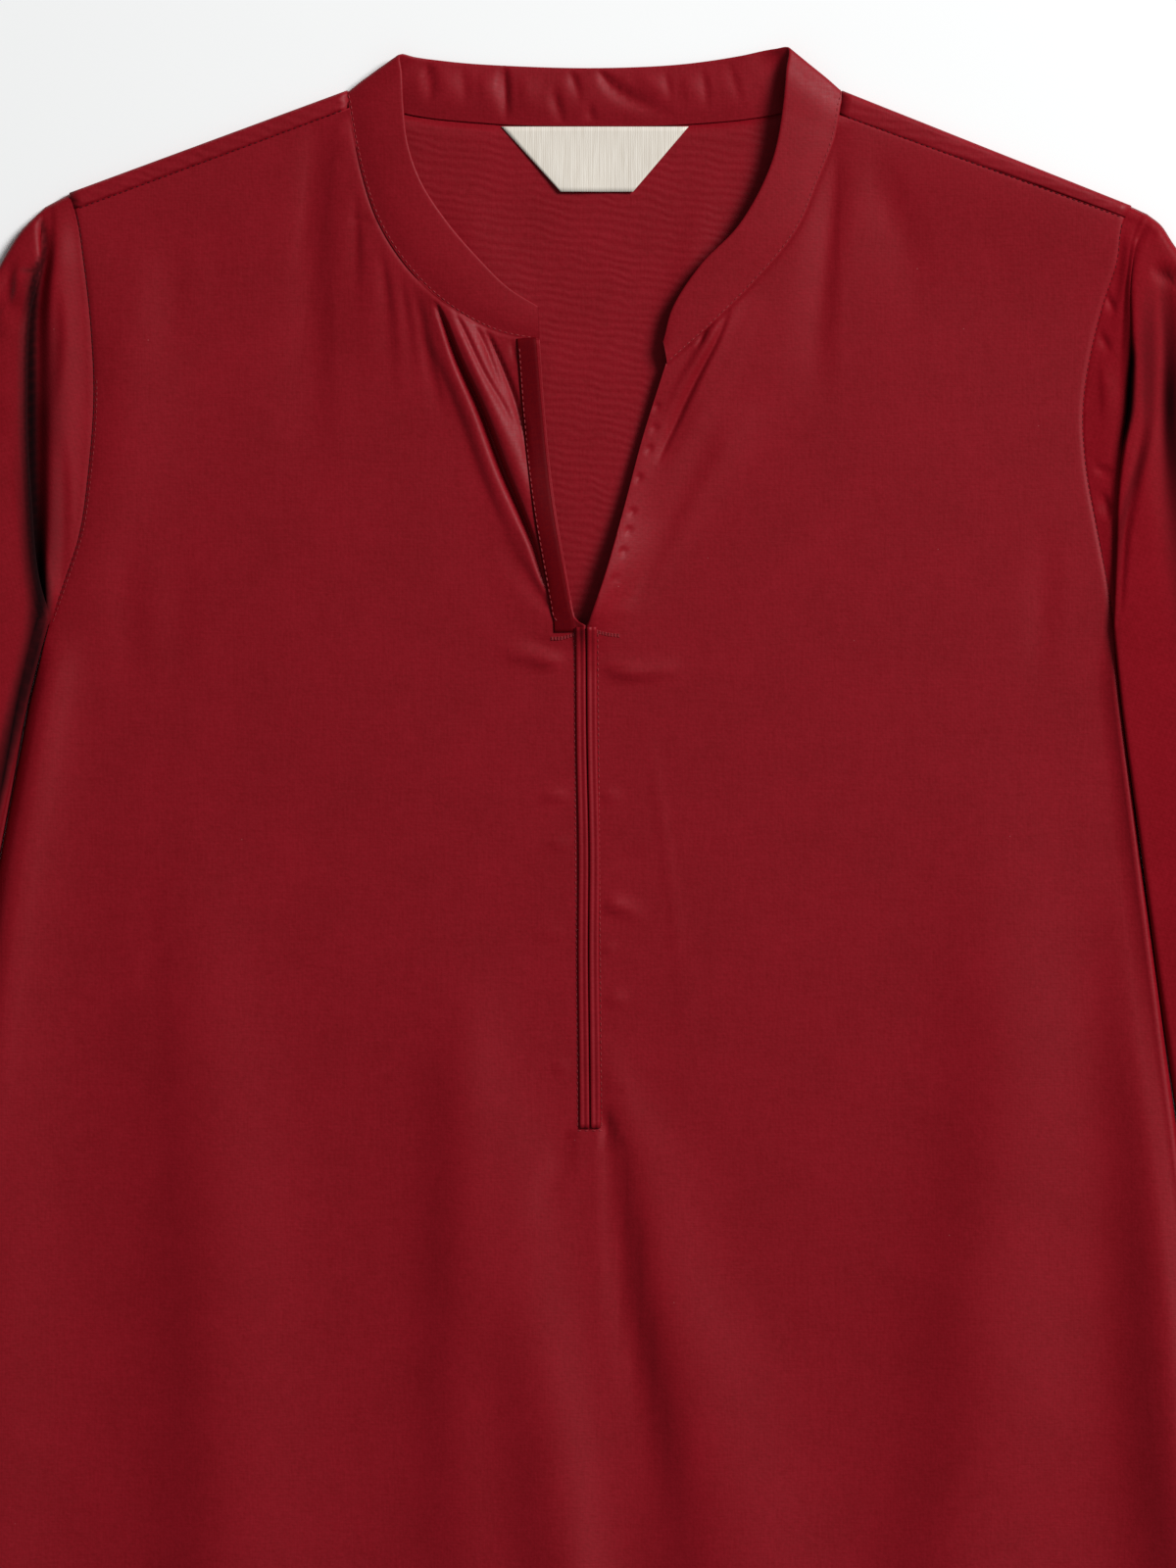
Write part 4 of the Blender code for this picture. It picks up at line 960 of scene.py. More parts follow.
# %% Creases of the back
BACK_CREASES = {
    "blade 1": [(-120, 70, 5), (-112, 130, 8, 0.6), (-118, 220, 8)],
    "blade 2": [(118, 76, 5), (110, 150, 9, 0.7), (121, 250, 8)],
    "inside 1": [(-52, 46, 4), (-40, 70, 7, 0.5), (-22, 118, 7)],
    "inside 2": [(44, 44, 4), (36, 80, 6, 0.5), (20, 130, 6)],
    "waist 1": [(-150, 330, 5), (-60, 346, 7, 0.6), (20, 338, 6)],
    "waist 2": [(30, 372, 5), (110, 360, 7, 0.6), (176, 372, 5)],
    "skirt 1": [(-130, 470, 8), (-124, 700, 12, 1), (-132, 930, 12)],
    "skirt 2": [(-20, 520, 8), (-8, 740, 12, 0.9), (6, 950, 12)],
    "skirt 3": [(112, 480, 8), (122, 690, 12, 1), (136, 940, 14)],
    "skirt 4": [(186, 600, 5), (200, 760, 8, 0.7), (212, 930, 8)],
}
print(len(BACK_CREASES), "creases")

# %% The back panel
TURN_ROWS = 12  # round the fold at each shoulder
TURNED_SHARES = (0.35, 0.7, 0.9)  # rows from that fold to the shoulder seam
SEAM_ENDS = [(-0.4, -0.05), (0.0, -0.25), (0.8, -0.8)]  # rows at the seam: down from it, added height
SHOULDER_POINTS = 30
BACK_POINTS = 76
BACK_STEP_MM = 6.0
BACK_HEM_MM = 963.0  # the hem's own rows begin
NECK_STEP = 40  # one point in so many is enough for its neck edge


def back_neck():
    """Neck edge of the back, tucked under the band."""
    line = beside_band(RIGHT_RISE_ROW + 2, LEFT_RISE_ROW - 2, OVERLAP_MM)
    return np.concatenate([BACK_NECK_ENDS[:1], line[::NECK_STEP], BACK_NECK_ENDS[1:]])


def turned_rows(side, radius):
    """Rows round the fold at one shoulder and forward to the seam, each with its height (mm)."""
    rows = []
    for angle in np.linspace(0, np.pi, TURN_ROWS + 1)[1:]:
        lowered = shoulder_line(side, SHOULDER_FOLD, radius * (1 - np.sin(angle)), SHOULDER_POINTS)
        rows.append((lowered, BACK_MM + radius * (1 - np.cos(angle))))
    for share in TURNED_SHARES:
        between = (shoulder_line(side, SHOULDER_FOLD, radius, SHOULDER_POINTS) * (1 - share)
                   + shoulder_line(side, SHOULDER_SEAM, 0, SHOULDER_POINTS) * share)
        rows.append((between, SHOULDER_RISE_MM))
    for lower, added in SEAM_ENDS:
        seam = shoulder_line(side, SHOULDER_SEAM, lower, SHOULDER_POINTS)
        rows.append((seam, SHOULDER_RISE_MM + added))
    return rows


def back_panel():
    """The back on the table, with the strips that turn over and come forward at the shoulders."""
    radius = (SHOULDER_RISE_MM - BACK_MM) / 2
    neck = smooth_path(back_neck(), BACK_POINTS)
    top = np.concatenate([
        shoulder_line("right", SHOULDER_FOLD, radius, SHOULDER_POINTS),
        neck[1:-1],
        shoulder_line("left", SHOULDER_FOLD, radius, SHOULDER_POINTS)[::-1],
    ])
    part = (top[:, 0] - top[0, 0]) / (top[-1, 0] - top[0, 0])
    edges = {}
    rows = np.concatenate([np.arange(UNDERARM_MM + 5, BACK_HEM_MM - BACK_STEP_MM / 2, BACK_STEP_MM),
                           hem_rows(BACK_HEM_MM, SIDE_END_MM, BACK_STEP_MM)])
    for side in SIDES:
        arm = armhole(side, top[0 if side == "right" else -1, 1], 30)
        edges[side] = np.concatenate([arm, np.stack([side_seam(side, rows), rows], 1)])
    hem = edges["right"][-1] + (edges["left"][-1] - edges["right"][-1]) * part[:, None]
    hem[:, 1] = hem_down(hem[:, 0])
    down = (edges["right"][:, 1] - edges["right"][0, 1]) / (SIDE_END_MM - edges["right"][0, 1])
    plan = patch(top, hem, edges["right"], edges["left"], part, down)
    height = BACK_MM + creases(plan, BACK_CREASES)
    rows, columns = plan.shape[:2]
    vertices = list(world(plan, height).reshape(-1, 3))
    faces = grid_faces(rows, columns)
    for side, first in (("right", 0), ("left", columns - SHOULDER_POINTS)):
        last = [first + k for k in range(SHOULDER_POINTS)]
        for line, line_height in turned_rows(side, radius):
            placed = world(line if side == "right" else line[::-1],
                           np.full(SHOULDER_POINTS, line_height))
            made = [len(vertices) + k for k in range(SHOULDER_POINTS)]
            vertices.extend(placed)
            faces.extend((made[k], made[k + 1], last[k + 1], last[k]) for k in range(SHOULDER_POINTS - 1))
            last = made
    return cloth("back_panel", vertices, faces, rayon_inner, node="back_body")


back = back_panel()
tell(back)

# %% [markdown]
# ## The sleeves
#
# A sleeve is a tube, pressed flat by lying down. Beside the armhole it drops into a deep valley and
# comes up again in a roll, because the sleeve hangs at an angle to the armhole it was set into. The
# tube is a net of rings, from the armhole seam to the cuff, whose upper half carries the form.

# %% Outlines of the sleeves
VALLEY = {
    "right": [
        (-193.6, 56.6), (-195.2, 66), (-196.8, 76), (-200.6, 90), (-202.6, 120), (-201.6, 157.5),
        (-198.6, 190), (-193.3, 207)],
    "left": [
        (199.6, 59.2), (195.6, 69), (193.8, 82), (194, 98), (194.3, 112), (193.6, 126), (191.6, 140),
        (190, 155), (189.4, 180), (188.7, 207)],
}
OUTER_EDGE = {
    "right": [
        (-193.6, 56.6), (-201.8, 64.6), (-206.8, 72.2), (-213, 84), (-232, 120), (-253, 170), (-277, 240),
        (-302, 320), (-348, 478)],
    "left": [
        (199.6, 59.2), (204.4, 63), (208.4, 69), (221, 87), (241, 125), (260, 175), (282, 243), (306, 320),
        (348, 478)],
}
INNER_EDGE = {
    "right": [(-193.3, 207), (-200.1, 234), (-205.2, 262), (-210.6, 291), (-223.8, 385.5), (-243, 505)],
    "left": [(188.7, 207), (190.7, 230), (197.6, 287), (207.1, 360), (210.8, 385.5), (233, 505)],
}
print("upper arm's outer edges:", len(OUTER_EDGE["right"]), "and", len(OUTER_EDGE["left"]), "points")

# %% Heights of the sleeves
# Along the valley from the shoulder (0) to the underarm (1): its depth, and the roll beyond it (mm).
VALLEY_ROWS = {
    "right": [
        ("shoulder", 0.00, 4, 5), ("head", 0.09, 3.9, 6.2), ("head", 0.17, 2.4, 8.6),
        ("head", 0.26, 1.1, 10.4), ("arm", 0.50, 0.9, 12), ("underarm", 1.00, 0.9, 9.5)],
    "left": [
        ("shoulder", 0.00, 4.4, 5), ("head", 0.20, 4.7, 5.8), ("arm", 0.34, 3.8, 6.1),
        ("arm", 0.44, 2.4, 6.4), ("arm", 0.56, 2.2, 6.4), ("arm", 0.68, 3.2, 6),
        ("underarm", 1.00, 2.6, 5.4)],
}
CAP_DROP = {"right": (0.55, 0.79), "left": (0.70, 0.97)}  # where the cap falls into the valley
CAP_BULGE_MM = {"right": 2.2, "left": 0.6}
ROLL_RISE_MM = {"right": 4.5, "left": 3.2}  # from the valley up to the roll
OVERHANG_MM = {"right": 4.6, "left": 1.4}  # how far the roll leans back to the body
SLEEVE_LEDGE = {"right": (4.2, 3.6), "left": (0.2, 3.0)}  # low beside the body, then the rise
PRESSED = {"right": 1.0, "left": 2.6}  # how steeply it stands against the body
ROLL_FADE_MM = 170.0  # down the arm it flattens to this height
SLEEVE_FLAT_MM = 3.2
SLEEVE_BELLY_MM = 1.2  # and a little more in its middle
CAP_STEP_MM = 0.3  # the cap lies so much over the seam
CAP_STEP_PART = 0.05
UNDER_BODY_MM = 0.1  # its edge lies so much under the body's
SOFT_START = 0.16  # all this grows over the first part
LEAN_SPAN = 1.5  # the roll leans while it rises, and beyond
EDGE_ROUND = (0.45, 1.0, 2.0)  # round side edges: share of the height, added to it, at least (mm)

# %% Creases of the sleeves
# Again across, down, half width, height (mm).
SLEEVE_CREASES = {
    "right": {
        "head notch": [
            (-197.8, 60.2, 1), (-195.4, 62, 1.3, -0.5), (-193.6, 66, 1.3, -0.5), (-193.8, 72, 1.2, -0.3),
            (-195.2, 79, 1)],
        "head pull": [(-202.5, 79, 1.5), (-199, 79.8, 1.9, -1.6), (-195, 79.6, 1.3)],
        "head dent": [(-205.6, 75, 2), (-205.8, 88, 2.3, -1.5), (-204.6, 102, 2)],
        "cap dent 1": [(-189.4, 86, 2), (-189.8, 100, 3, -0.9), (-191, 118, 3, -0.8), (-192, 130, 2)],
        "cap dent 2": [(-188, 138, 2), (-187.6, 160, 3, -0.8), (-188.8, 184, 3, -0.6), (-190.4, 197, 2)],
        "arm 1": [(-226, 150, 4), (-238, 190, 6, -1.6), (-252, 250, 7)],
        "arm 2": [(-216, 190, 4), (-222, 240, 5, -1), (-236, 300, 6)],
        "elbow 1": [(-232, 340, 3), (-256, 330, 5, -0.9), (-286, 338, 4)],
        "elbow 2": [(-240, 372, 3), (-268, 366, 5, 0.8), (-300, 380, 4)],
        "elbow 3": [(-262, 400, 3), (-284, 392, 4, -0.8), (-308, 392, 3)],
        "low 1": [(-262, 420, 4), (-276, 450, 5, 0.8), (-286, 480, 5)],
    },
    "left": {
        "head arc": [(195, 70.5, 1.2), (197.3, 67.4, 1.7, -1), (200.9, 65.9, 1.7, -0.8), (203.4, 66.4, 1.2)],
        "head crease": [(200.3, 79.5, 1.5), (204, 80, 2, -1.4), (209, 82.6, 2, -1.2), (213, 85.2, 1.5)],
        "cap fall": [(190.8, 65, 1.3), (189.8, 76, 2, -0.4), (187.8, 90, 2, -0.4), (186.3, 98, 1.3)],
        "cap pinch 1": [(184.3, 86, 0.8), (186.4, 90.4, 1.1, -0.9), (188.6, 94.2, 0.9)],
        "cap pinch 2": [(182, 100.6, 0.9), (184.4, 104.4, 1.4, -0.8), (187, 109, 1)],
        "cap pocket": [(183.2, 111, 1.5), (184.9, 122, 2.4, 0.6), (184.4, 135, 1.5)],
        "cap pinch 3": [(180.2, 148.4, 1), (184, 150.6, 1.5, -0.9), (187.6, 151, 1.1)],
        "cap pinch 4": [(182.8, 158, 1.2), (185, 162.6, 2, -1.1), (185.4, 169, 1.3)],
        "second valley": [
            (200.2, 86, 2), (199.9, 98, 3, -0.3), (199.9, 115, 3.4, -0.35), (199.2, 130, 3.2, -0.5),
            (197, 141, 2.6, -0.9), (194.5, 156, 2.4, -1.2), (191.5, 172, 2.2, -1.1), (190.2, 190, 1.8, -0.7),
            (189.4, 204, 1.4)],
        "third valley": [
            (205.5, 78, 2.5), (206.6, 92, 3.6, -0.9), (207.2, 110, 4.2, -1.4), (207.2, 135, 4.4, -1.4),
            (208.6, 155, 4.8, -1.2), (211, 185, 5.2, -0.6), (214, 222, 5)],
        "outer arm": [
            (213, 80, 4), (217, 92, 5, 0.6), (221, 112, 7, 1), (224, 150, 8, 1.1), (230, 190, 9, 1.2),
            (238, 240, 10)],
        "arm 1": [(240, 160, 4), (252, 204, 6, -1.4), (264, 262, 7)],
        "elbow 1": [(222, 352, 3), (250, 338, 5, -0.9), (290, 344, 4)],
        "elbow 2": [(236, 384, 3), (262, 372, 5, 0.8), (302, 376, 4)],
        "low 1": [(256, 420, 4), (272, 452, 5, -0.8), (282, 482, 5)],
    },
}
print({side: len(rows) for side, rows in SLEEVE_CREASES.items()}, "creases")

# %% Painted shade in the black folds of the sleeves
# One row for each point: across, down, half width on the wearer's right, half width on the wearer's
# left (mm), and how much of the light the painted shade takes.
PAINTED_FOLD_SHADE = {
    "right": {
        "beside the cap": [
            (-197.4, 60, 0.8, 0.8, 0), (-194.8, 63, 1.1, 1.1, 0.5), (-193.8, 68, 1.2, 1.4, 0.65),
            (-194.2, 74, 1.3, 1.5, 0.75), (-196.2, 80, 2, 2, 0.9), (-198.5, 99, 2.5, 2.5, 0.97),
            (-198.8, 126, 3.2, 3.3, 1), (-198.3, 153, 3.4, 3.5, 1), (-196.8, 180, 4, 4, 1),
            (-194.8, 199, 4.2, 3.6, 1), (-197, 214, 3.9, 3.5, 1), (-200.8, 228, 3.7, 3.5, 1),
            (-206.4, 250, 3.2, 3.2, 1), (-209.4, 264, 2.8, 2.6, 1), (-215, 290, 3, 2.8, 0.9),
            (-224, 340, 2.6, 2.6, 0.5), (-232, 390, 2, 2, 0)],
        "cap slope": [
            (-193, 84, 4, 3, 0), (-194, 102, 5, 5.5, 0.3), (-193.6, 126, 6, 6.5, 0.42),
            (-193, 150, 6, 6, 0.3), (-192.4, 176, 5, 5, 0.36), (-193, 200, 4, 3, 0)],
        "head pull": [(-203, 79, 1, 1, 0), (-199.6, 79.6, 1.1, 1.1, 0.5), (-196.4, 79.8, 1.2, 1.2, 0.7)],
    },
    "left": {
        "lens": [
            (193, 96, 0.8, 0.8, 0), (193.6, 102, 1, 1, 0.3), (194, 108, 1.3, 1.3, 0.85),
            (193.4, 120, 1.8, 1.7, 1), (192.8, 131, 1.8, 1.5, 1), (191.6, 138, 1.4, 1, 0.9),
            (190.4, 145, 0.9, 0.9, 0.3), (189.8, 168, 0.8, 0.9, 0.1), (189.2, 185, 0.8, 0.9, 0.1),
            (188.8, 206, 0.8, 0.9, 0.1), (191.2, 230, 0.7, 0.8, 0)],
        "second": [
            (200.2, 84, 1.8, 1.8, 0), (199.8, 96, 2.6, 2.6, 0.3), (199.8, 122, 2.6, 2.6, 0.45),
            (199.4, 138, 2, 1.8, 0.35), (196.4, 150, 2, 1.8, 0.5), (192.4, 162, 1.8, 1.7, 0.4),
            (189.6, 172, 1.6, 1.7, 0.35), (189, 196, 1.2, 1.4, 0)],
        "third": [
            (205.5, 80, 2, 3, 0), (206.6, 94, 2.4, 3, 0.45), (207.4, 108, 2.6, 3.4, 0.75),
            (207.4, 122, 3, 4, 0.95), (207.6, 137, 3.2, 4, 0.92), (209, 151, 4, 4, 0.8),
            (211.4, 171, 5.5, 5, 0.55), (214, 192, 6.5, 6, 0.35), (216.5, 225, 6, 6, 0)],
        "head crease": [
            (201, 79.6, 1.2, 1.2, 0), (205, 80.4, 1.4, 1.4, 0.4), (209, 82.4, 1.4, 1.4, 0.5),
            (212.5, 85, 1.4, 1.4, 0)],
    },
}
print({side: len(rows) for side, rows in PAINTED_FOLD_SHADE.items()}, "black folds")

# %% Plan of a sleeve's upper cloth
OUTER_STEPS = [0, 0.006, 0.014, 0.026, 0.042, 0.06]
INNER_STEPS = [0.925, 0.934, 0.942, 0.949, 0.956, 0.963, 0.969, 0.975, 0.981, 0.987, 0.992, 0.996, 1]
ROLL_STEPS_MM = [0, 0.4, 0.8, 1.2, 1.7, 2.2, 2.8, 3.4, 4.0, 4.7, 5.5, 6.5, 7.6, 9.0]
ARM_ROWS = 34  # close rows as far as the arm's main folds go
ARM_END_MM = 70.0
CUFF_ROWS_MM = [-1.2, -0.6, 0, 0.6, 1.6, 4, 7, 10, 13, 14.4]  # from the cuff's stitching
CAP_PARTS = np.array([0, 0.02, 0.05, *np.linspace(0.09, 1, 24)[:-1]])  # from the seam to the valley
SEWN_IN_MM = 0.3  # the cap begins so far under the body
SLEEVE_COLUMNS = 96
SLEEVE_ROWS = 66


def sleeve_plan(side):
    """Rings from the armhole to the cuff, their columns, and how far down the arm they lie (mm)."""
    middle = np.linspace(OUTER_STEPS[-1], INNER_STEPS[0], SLEEVE_COLUMNS)[1:-1]
    columns = np.concatenate([OUTER_STEPS, middle, INNER_STEPS])
    head = armhole(side, SHOULDER_FOLD[side][0][1], columns, SEWN_IN_MM)
    valley = smooth_path(VALLEY[side], columns)
    cuff = smooth_path([OUTER_EDGE[side][-1], INNER_EDGE[side][-1]], columns)
    reach = np.linalg.norm(valley[len(columns) // 2] - cuff[len(columns) // 2])
    cuff_line = reach - CUFF_DEPTH_MM
    rows_mm = np.concatenate([ROLL_STEPS_MM, np.linspace(ROLL_STEPS_MM[-1], ARM_END_MM, ARM_ROWS)[1:],
                              np.linspace(ARM_END_MM, cuff_line - 3.0, SLEEVE_ROWS)[1:],
                              cuff_line + np.array(CUFF_ROWS_MM), [reach]])
    parts = rows_mm / reach
    body = patch(valley, cuff, smooth_path(OUTER_EDGE[side], parts), smooth_path(INNER_EDGE[side], parts),
                 columns, parts)
    cap = np.array([head + (valley - head) * part for part in CAP_PARTS])
    return np.concatenate([cap, body]), columns, rows_mm, cuff_line


# %% Form of a sleeve's upper cloth
def cap_heights(side, columns, depth, ends):
    """The cap leaves the seam a little higher, bulges, and falls into the valley (mm)."""
    at_head = front_surface(armhole(side, SHOULDER_FOLD[side][0][1], columns)) - UNDER_BODY_MM
    fall_start, fall_end = CAP_DROP[side]
    heights = []
    for part in CAP_PARTS:
        fall = soft_step((part - fall_start) / (fall_end - fall_start))
        bulge = CAP_STEP_MM * soft_step(part / CAP_STEP_PART)
        bulge = bulge + CAP_BULGE_MM[side] * soft_step(part / fall_start)
        heights.append((at_head + bulge * ends) * (1 - fall) + depth * fall)
    return heights


def sleeve_net(side):
    """The upper cloth: its plan, the same plan leant over, its heights, columns and cuff row."""
    plan, columns, rows_mm, cuff_line = sleeve_plan(side)
    steps = np.linalg.norm(np.diff(plan, axis=1), axis=2)
    along = np.concatenate([np.zeros((len(plan), 1)), np.cumsum(steps, axis=1)], axis=1)
    to_body = along[:, -1:] - along
    table = np.array([row[1:] for row in VALLEY_ROWS[side]])
    depth = np.interp(columns, table[:, 0], table[:, 1])
    roll = np.interp(columns, table[:, 0], table[:, 2])
    ends = soft_step(columns / SOFT_START)
    heights = cap_heights(side, columns, depth, ends)
    ledge, ledge_rise = SLEEVE_LEDGE[side]
    lean = [0 * columns] * len(CAP_PARTS)
    for row, way in enumerate(rows_mm):
        up_roll = way / ROLL_RISE_MM[side]
        up_ledge = (to_body[len(CAP_PARTS) + row] - ledge) / ledge_rise
        rise = soft_step(up_roll) * soft_step(up_ledge)
        fade = bell(way / ROLL_FADE_MM)
        crest = SLEEVE_FLAT_MM + SLEEVE_BELLY_MM * np.sin(np.pi * columns)
        crest = crest + (roll - crest) * fade
        heights.append(depth + (crest - depth) * rise + hem_step(way - cuff_line))
        bends = [np.sin(np.pi * np.clip(up / LEAN_SPAN, 0, 1)) for up in (up_roll, up_ledge)]
        lean.append(np.maximum(bends[0] * soft_step(up_ledge), bends[1] * soft_step(up_roll)) * fade * ends)
    leant = plan.copy()
    leant[..., 0] -= OUTWARD[side] * OVERHANG_MM[side] * np.array(lean)
    heights = np.array(heights) + creases(plan, SLEEVE_CREASES[side])
    share, added, least = EDGE_ROUND
    rounding = np.maximum(share * (heights - BACK_MM) + added, least)
    rounded = quarter_round(np.minimum(along, to_body * PRESSED[side]) / rounding)
    cuff_row = len(CAP_PARTS) + int(np.argmin(np.abs(rows_mm - cuff_line)))
    return plan, leant, np.maximum(BACK_MM + (heights - BACK_MM) * rounded, BACK_MM), columns, cuff_row


# %% Both sleeves
LOWER_POINTS = 22  # across the lower cloth


def sleeve(side, material):
    """The tube of one sleeve, with painted shade marked in its black folds."""
    plan, leant, height, columns = sleeve_net(side)[:4]
    bottom = np.linspace(1, 0, LOWER_POINTS + 2)[1:-1]
    rings = []
    for line, upper, top in zip(plan, leant, height):
        under = np.stack([np.interp(bottom, columns, line[:, k]) for k in range(2)], 1)
        rings.append(np.concatenate([world(upper, top), world(under, np.full(len(under), BACK_MM))]))
    rings = np.array(rings)
    faces = grid_faces(len(rings), rings.shape[1], ring=True, flip=side == "right")
    piece = cloth(side + "_sleeve", rings, faces, material, node="sleeve_" + side)
    marked = np.stack([rings[..., 0], HEM_MM / 2 * MM - rings[..., 1]], -1) / MM
    marked[:, len(columns):] = 0  # the lower cloth isn't marked
    # painted shade: only the upper cloth's black folds are darkened
    paint_fold_shade(piece, marked, PAINTED_FOLD_SHADE[side])
    return piece


sleeves = {"right": sleeve("right", rayon_right), "left": sleeve("left", rayon_left)}
for piece in sleeves.values():
    tell(piece)

# %% [markdown]
# ## The neck band
#
# The stand collar is a strip of two layers with a stiffener, so it is thicker than the rest and its
# edges are round. It runs from one front end, over the shoulder, round the back, where its inner side
# lies up, and down to the other front end. The stiffener has bubbled in the wash at the back: uneven
# upright wrinkles, and one sharp diagonal crease.

# %% Wrinkles of the band's inner side
# Again across, down, half width, height (mm).
BAND_CREASES = {
    "upright 1": [(-58.5, 5, 1.2), (-57.2, 8, 1.7, -1.6), (-56, 13, 1.7, -1.2), (-56, 20, 1.2)],
    "upright 2": [(-45.5, 6, 1.1), (-44, 13, 1.5, -0.6), (-43, 21, 1.2)],
    "upright 3": [(-30, 6, 1.2), (-29.6, 11, 1.9, -1.6), (-29.2, 19, 1.9, -1.4), (-29, 26, 1.4)],
    "upright 4": [(-12.5, 14, 1.1), (-11.5, 18, 1.7, -1), (-9.5, 24, 1.6, -0.6), (-9, 27, 1.2)],
    "upright 5": [(-6.5, 8, 1), (-5, 11, 1.5, -1), (-3.2, 16, 1.4, -0.5), (-3, 19, 1)],
    "diagonal": [
        (3.5, 7.5, 1), (6.5, 11, 1.6, -1.5), (12, 15.5, 1.9, -1.9), (18, 18.6, 1.9, -1.4), (32, 23.5, 1.4)],
    "short": [(-0.5, 20, 1), (1, 22.5, 1.4, -0.9), (3, 26, 1)],
    "upright 6": [(28, 8, 1), (28.5, 13, 1.4, -0.5), (30, 18, 1)],
    "upright 7": [(41, 7, 1), (42, 14, 1.5, -0.6), (42.5, 22, 1)],
    "upright 8": [(51, 5, 1), (52.5, 12, 1.5, -0.5), (54, 20, 1)],
    "bubble 1": [(-51, 8, 2.4), (-51, 14, 2.8, 0.5), (-50, 19, 2.4)],
    "bubble 2": [(-37, 9, 2.6), (-36.5, 15, 3, 0.5), (-36, 21, 2.6)],
    "bubble 3": [(-22, 9, 2.6), (-22, 16, 3.2, 0.5), (-21, 23, 2.6)],
    "bubble 4": [(16, 10, 2.2), (22, 13, 2.6, 0.6), (30, 17, 2.2)],
    "bubble 5": [(36, 9, 2.4), (36, 15, 2.8, 0.4), (36, 20, 2.4)],
}
print(len(BAND_CREASES), "wrinkles")

# %% The middle of the band
BAND_WALL_MM = 0.95
BAND_ROWS = 424
BAND_ENDS = [0, 0.0003, 0.0008, 0.0016]  # rows close together at both ends
BAND_STEPS = [0, 0.02, 0.05, 0.1, 0.18, 0.28, 0.38, 0.48, 0.58, 0.68, 0.78, 0.86, 0.92, 0.955, 0.975, 0.99, 1]
BAND_PUFF_MM = 0.9  # it swells between its edges at the back
FRONT_PUFF_MM = 0.35  # and less where it lies on the front
LOW_MM = (7.0, 4.0)  # lying low, at the back: below, fading over
BACK_DOWN_MM = (30, 4)
BACK_ACROSS_MM = (64, 10)
OFF_TABLE_MM = 0.1


def band_middle():
    """The middle of the band: a grid of millimetre points with heights, seam edge to free edge."""
    both = band_curve([*BAND_ENDS[:-1], *np.linspace(BAND_ENDS[-1], 1 - BAND_ENDS[-1], BAND_ROWS),
                       0.9992, 0.9997, 1])
    part = np.array(BAND_STEPS)[None, :, None]
    grid = both[:, None, :3] * (1 - part) + both[:, None, 3:] * part
    at_back = 1.0
    for limit, value in ((LOW_MM, both[:, 2, None]), (BACK_DOWN_MM, grid[..., 1]),
                         (BACK_ACROSS_MM, np.abs(grid[..., 0] + 1))):
        at_back = at_back * soft_step((limit[0] - value) / limit[1])
    puff = BAND_PUFF_MM * np.sin(np.pi * part[..., 0])
    grid[..., 2] += (puff + creases(grid[..., :2], BAND_CREASES)) * at_back
    grid[..., 2] += FRONT_PUFF_MM * np.sin(np.pi * part[..., 0]) * (1 - at_back)
    grid[..., 2] = np.maximum(grid[..., 2], BAND_WALL_MM / 2 + OFF_TABLE_MM)
    return grid


# %% The band
EDGE_PART = 0.955  # the free edge begins to round off
EDGE_SHARE = 0.92  # and is nearly closed at its end
SEAM_SHARE = 0.25  # thickness at the seam edge, full after this part of the width
SEAM_PART = 0.35


def surface_normals(points):
    """Upward normals of a grid of points."""
    along, across = np.gradient(points, axis=0), np.gradient(points, axis=1)
    normal = np.cross(along, across)
    normal /= np.linalg.norm(normal, axis=-1, keepdims=True)
    return normal * np.sign(normal[..., 2:3].mean())


def neck_band():
    """Upper and lower side of the band, joined round its edges."""
    grid = band_middle()
    points = world(grid[..., :2], grid[..., 2])
    normal = surface_normals(points)
    part = np.array(BAND_STEPS)[None, :, None]
    taper = SEAM_SHARE + (1 - SEAM_SHARE) * soft_step(part / SEAM_PART)
    rounding = np.clip((part - EDGE_PART) / (1 - EDGE_PART), 0, 1)
    half = BAND_WALL_MM / 2 * MM * taper * np.sqrt(1 - rounding**2 * EDGE_SHARE)
    upper = points + normal * half
    lower = points - normal * half
    rings = np.concatenate([upper, lower[:, ::-1]], axis=1)
    rows, ring = rings.shape[:2]
    faces = grid_faces(rows, ring, ring=True)
    for row, flip in ((0, True), (rows - 1, False)):
        for k in range(len(BAND_STEPS) - 1):
            a, b = row * ring + k, row * ring + k + 1
            c, d = row * ring + ring - 2 - k, row * ring + ring - 1 - k
            faces.append((a, b, c, d) if flip else (d, c, b, a))
    piece = cloth("neck_band_cloth", rings, faces, rayon, wall_mm=0, node="neck_band")
    return piece, upper


band, band_top = neck_band()
tell(band, layers=2)

# %% [markdown]
# ## The slit: its strip and its two welts
#
# A narrow strip is stitched down beside the open slit on the wearer's right, cut across the grain; its
# colour is painted darker, as painted shade for how light falls across the grain. Lower down two narrow
# welts close the slit, each a strip folded in three. All of them follow the front's own surface, half a
# millimetre above it.

# %% A strip that lies on the front
LAYER_MM = 0.2
FOLLOW = 0.75  # how much of the front's small creases comes through
LEAST = 0.8  # share of its own height that a strip keeps over every crease


def slit_edge(side, down):
    """Across of the slit's edge at each height, open part and closed part (mm)."""
    run = smooth_path(SLIT_EDGE[side], 300)
    closed = centre_line(down) + SLIT_GAP_MM * OUTWARD[side]
    return np.where(down <= SLIT_TOP_MM, np.interp(down, run[:, 1], run[:, 0]), closed)


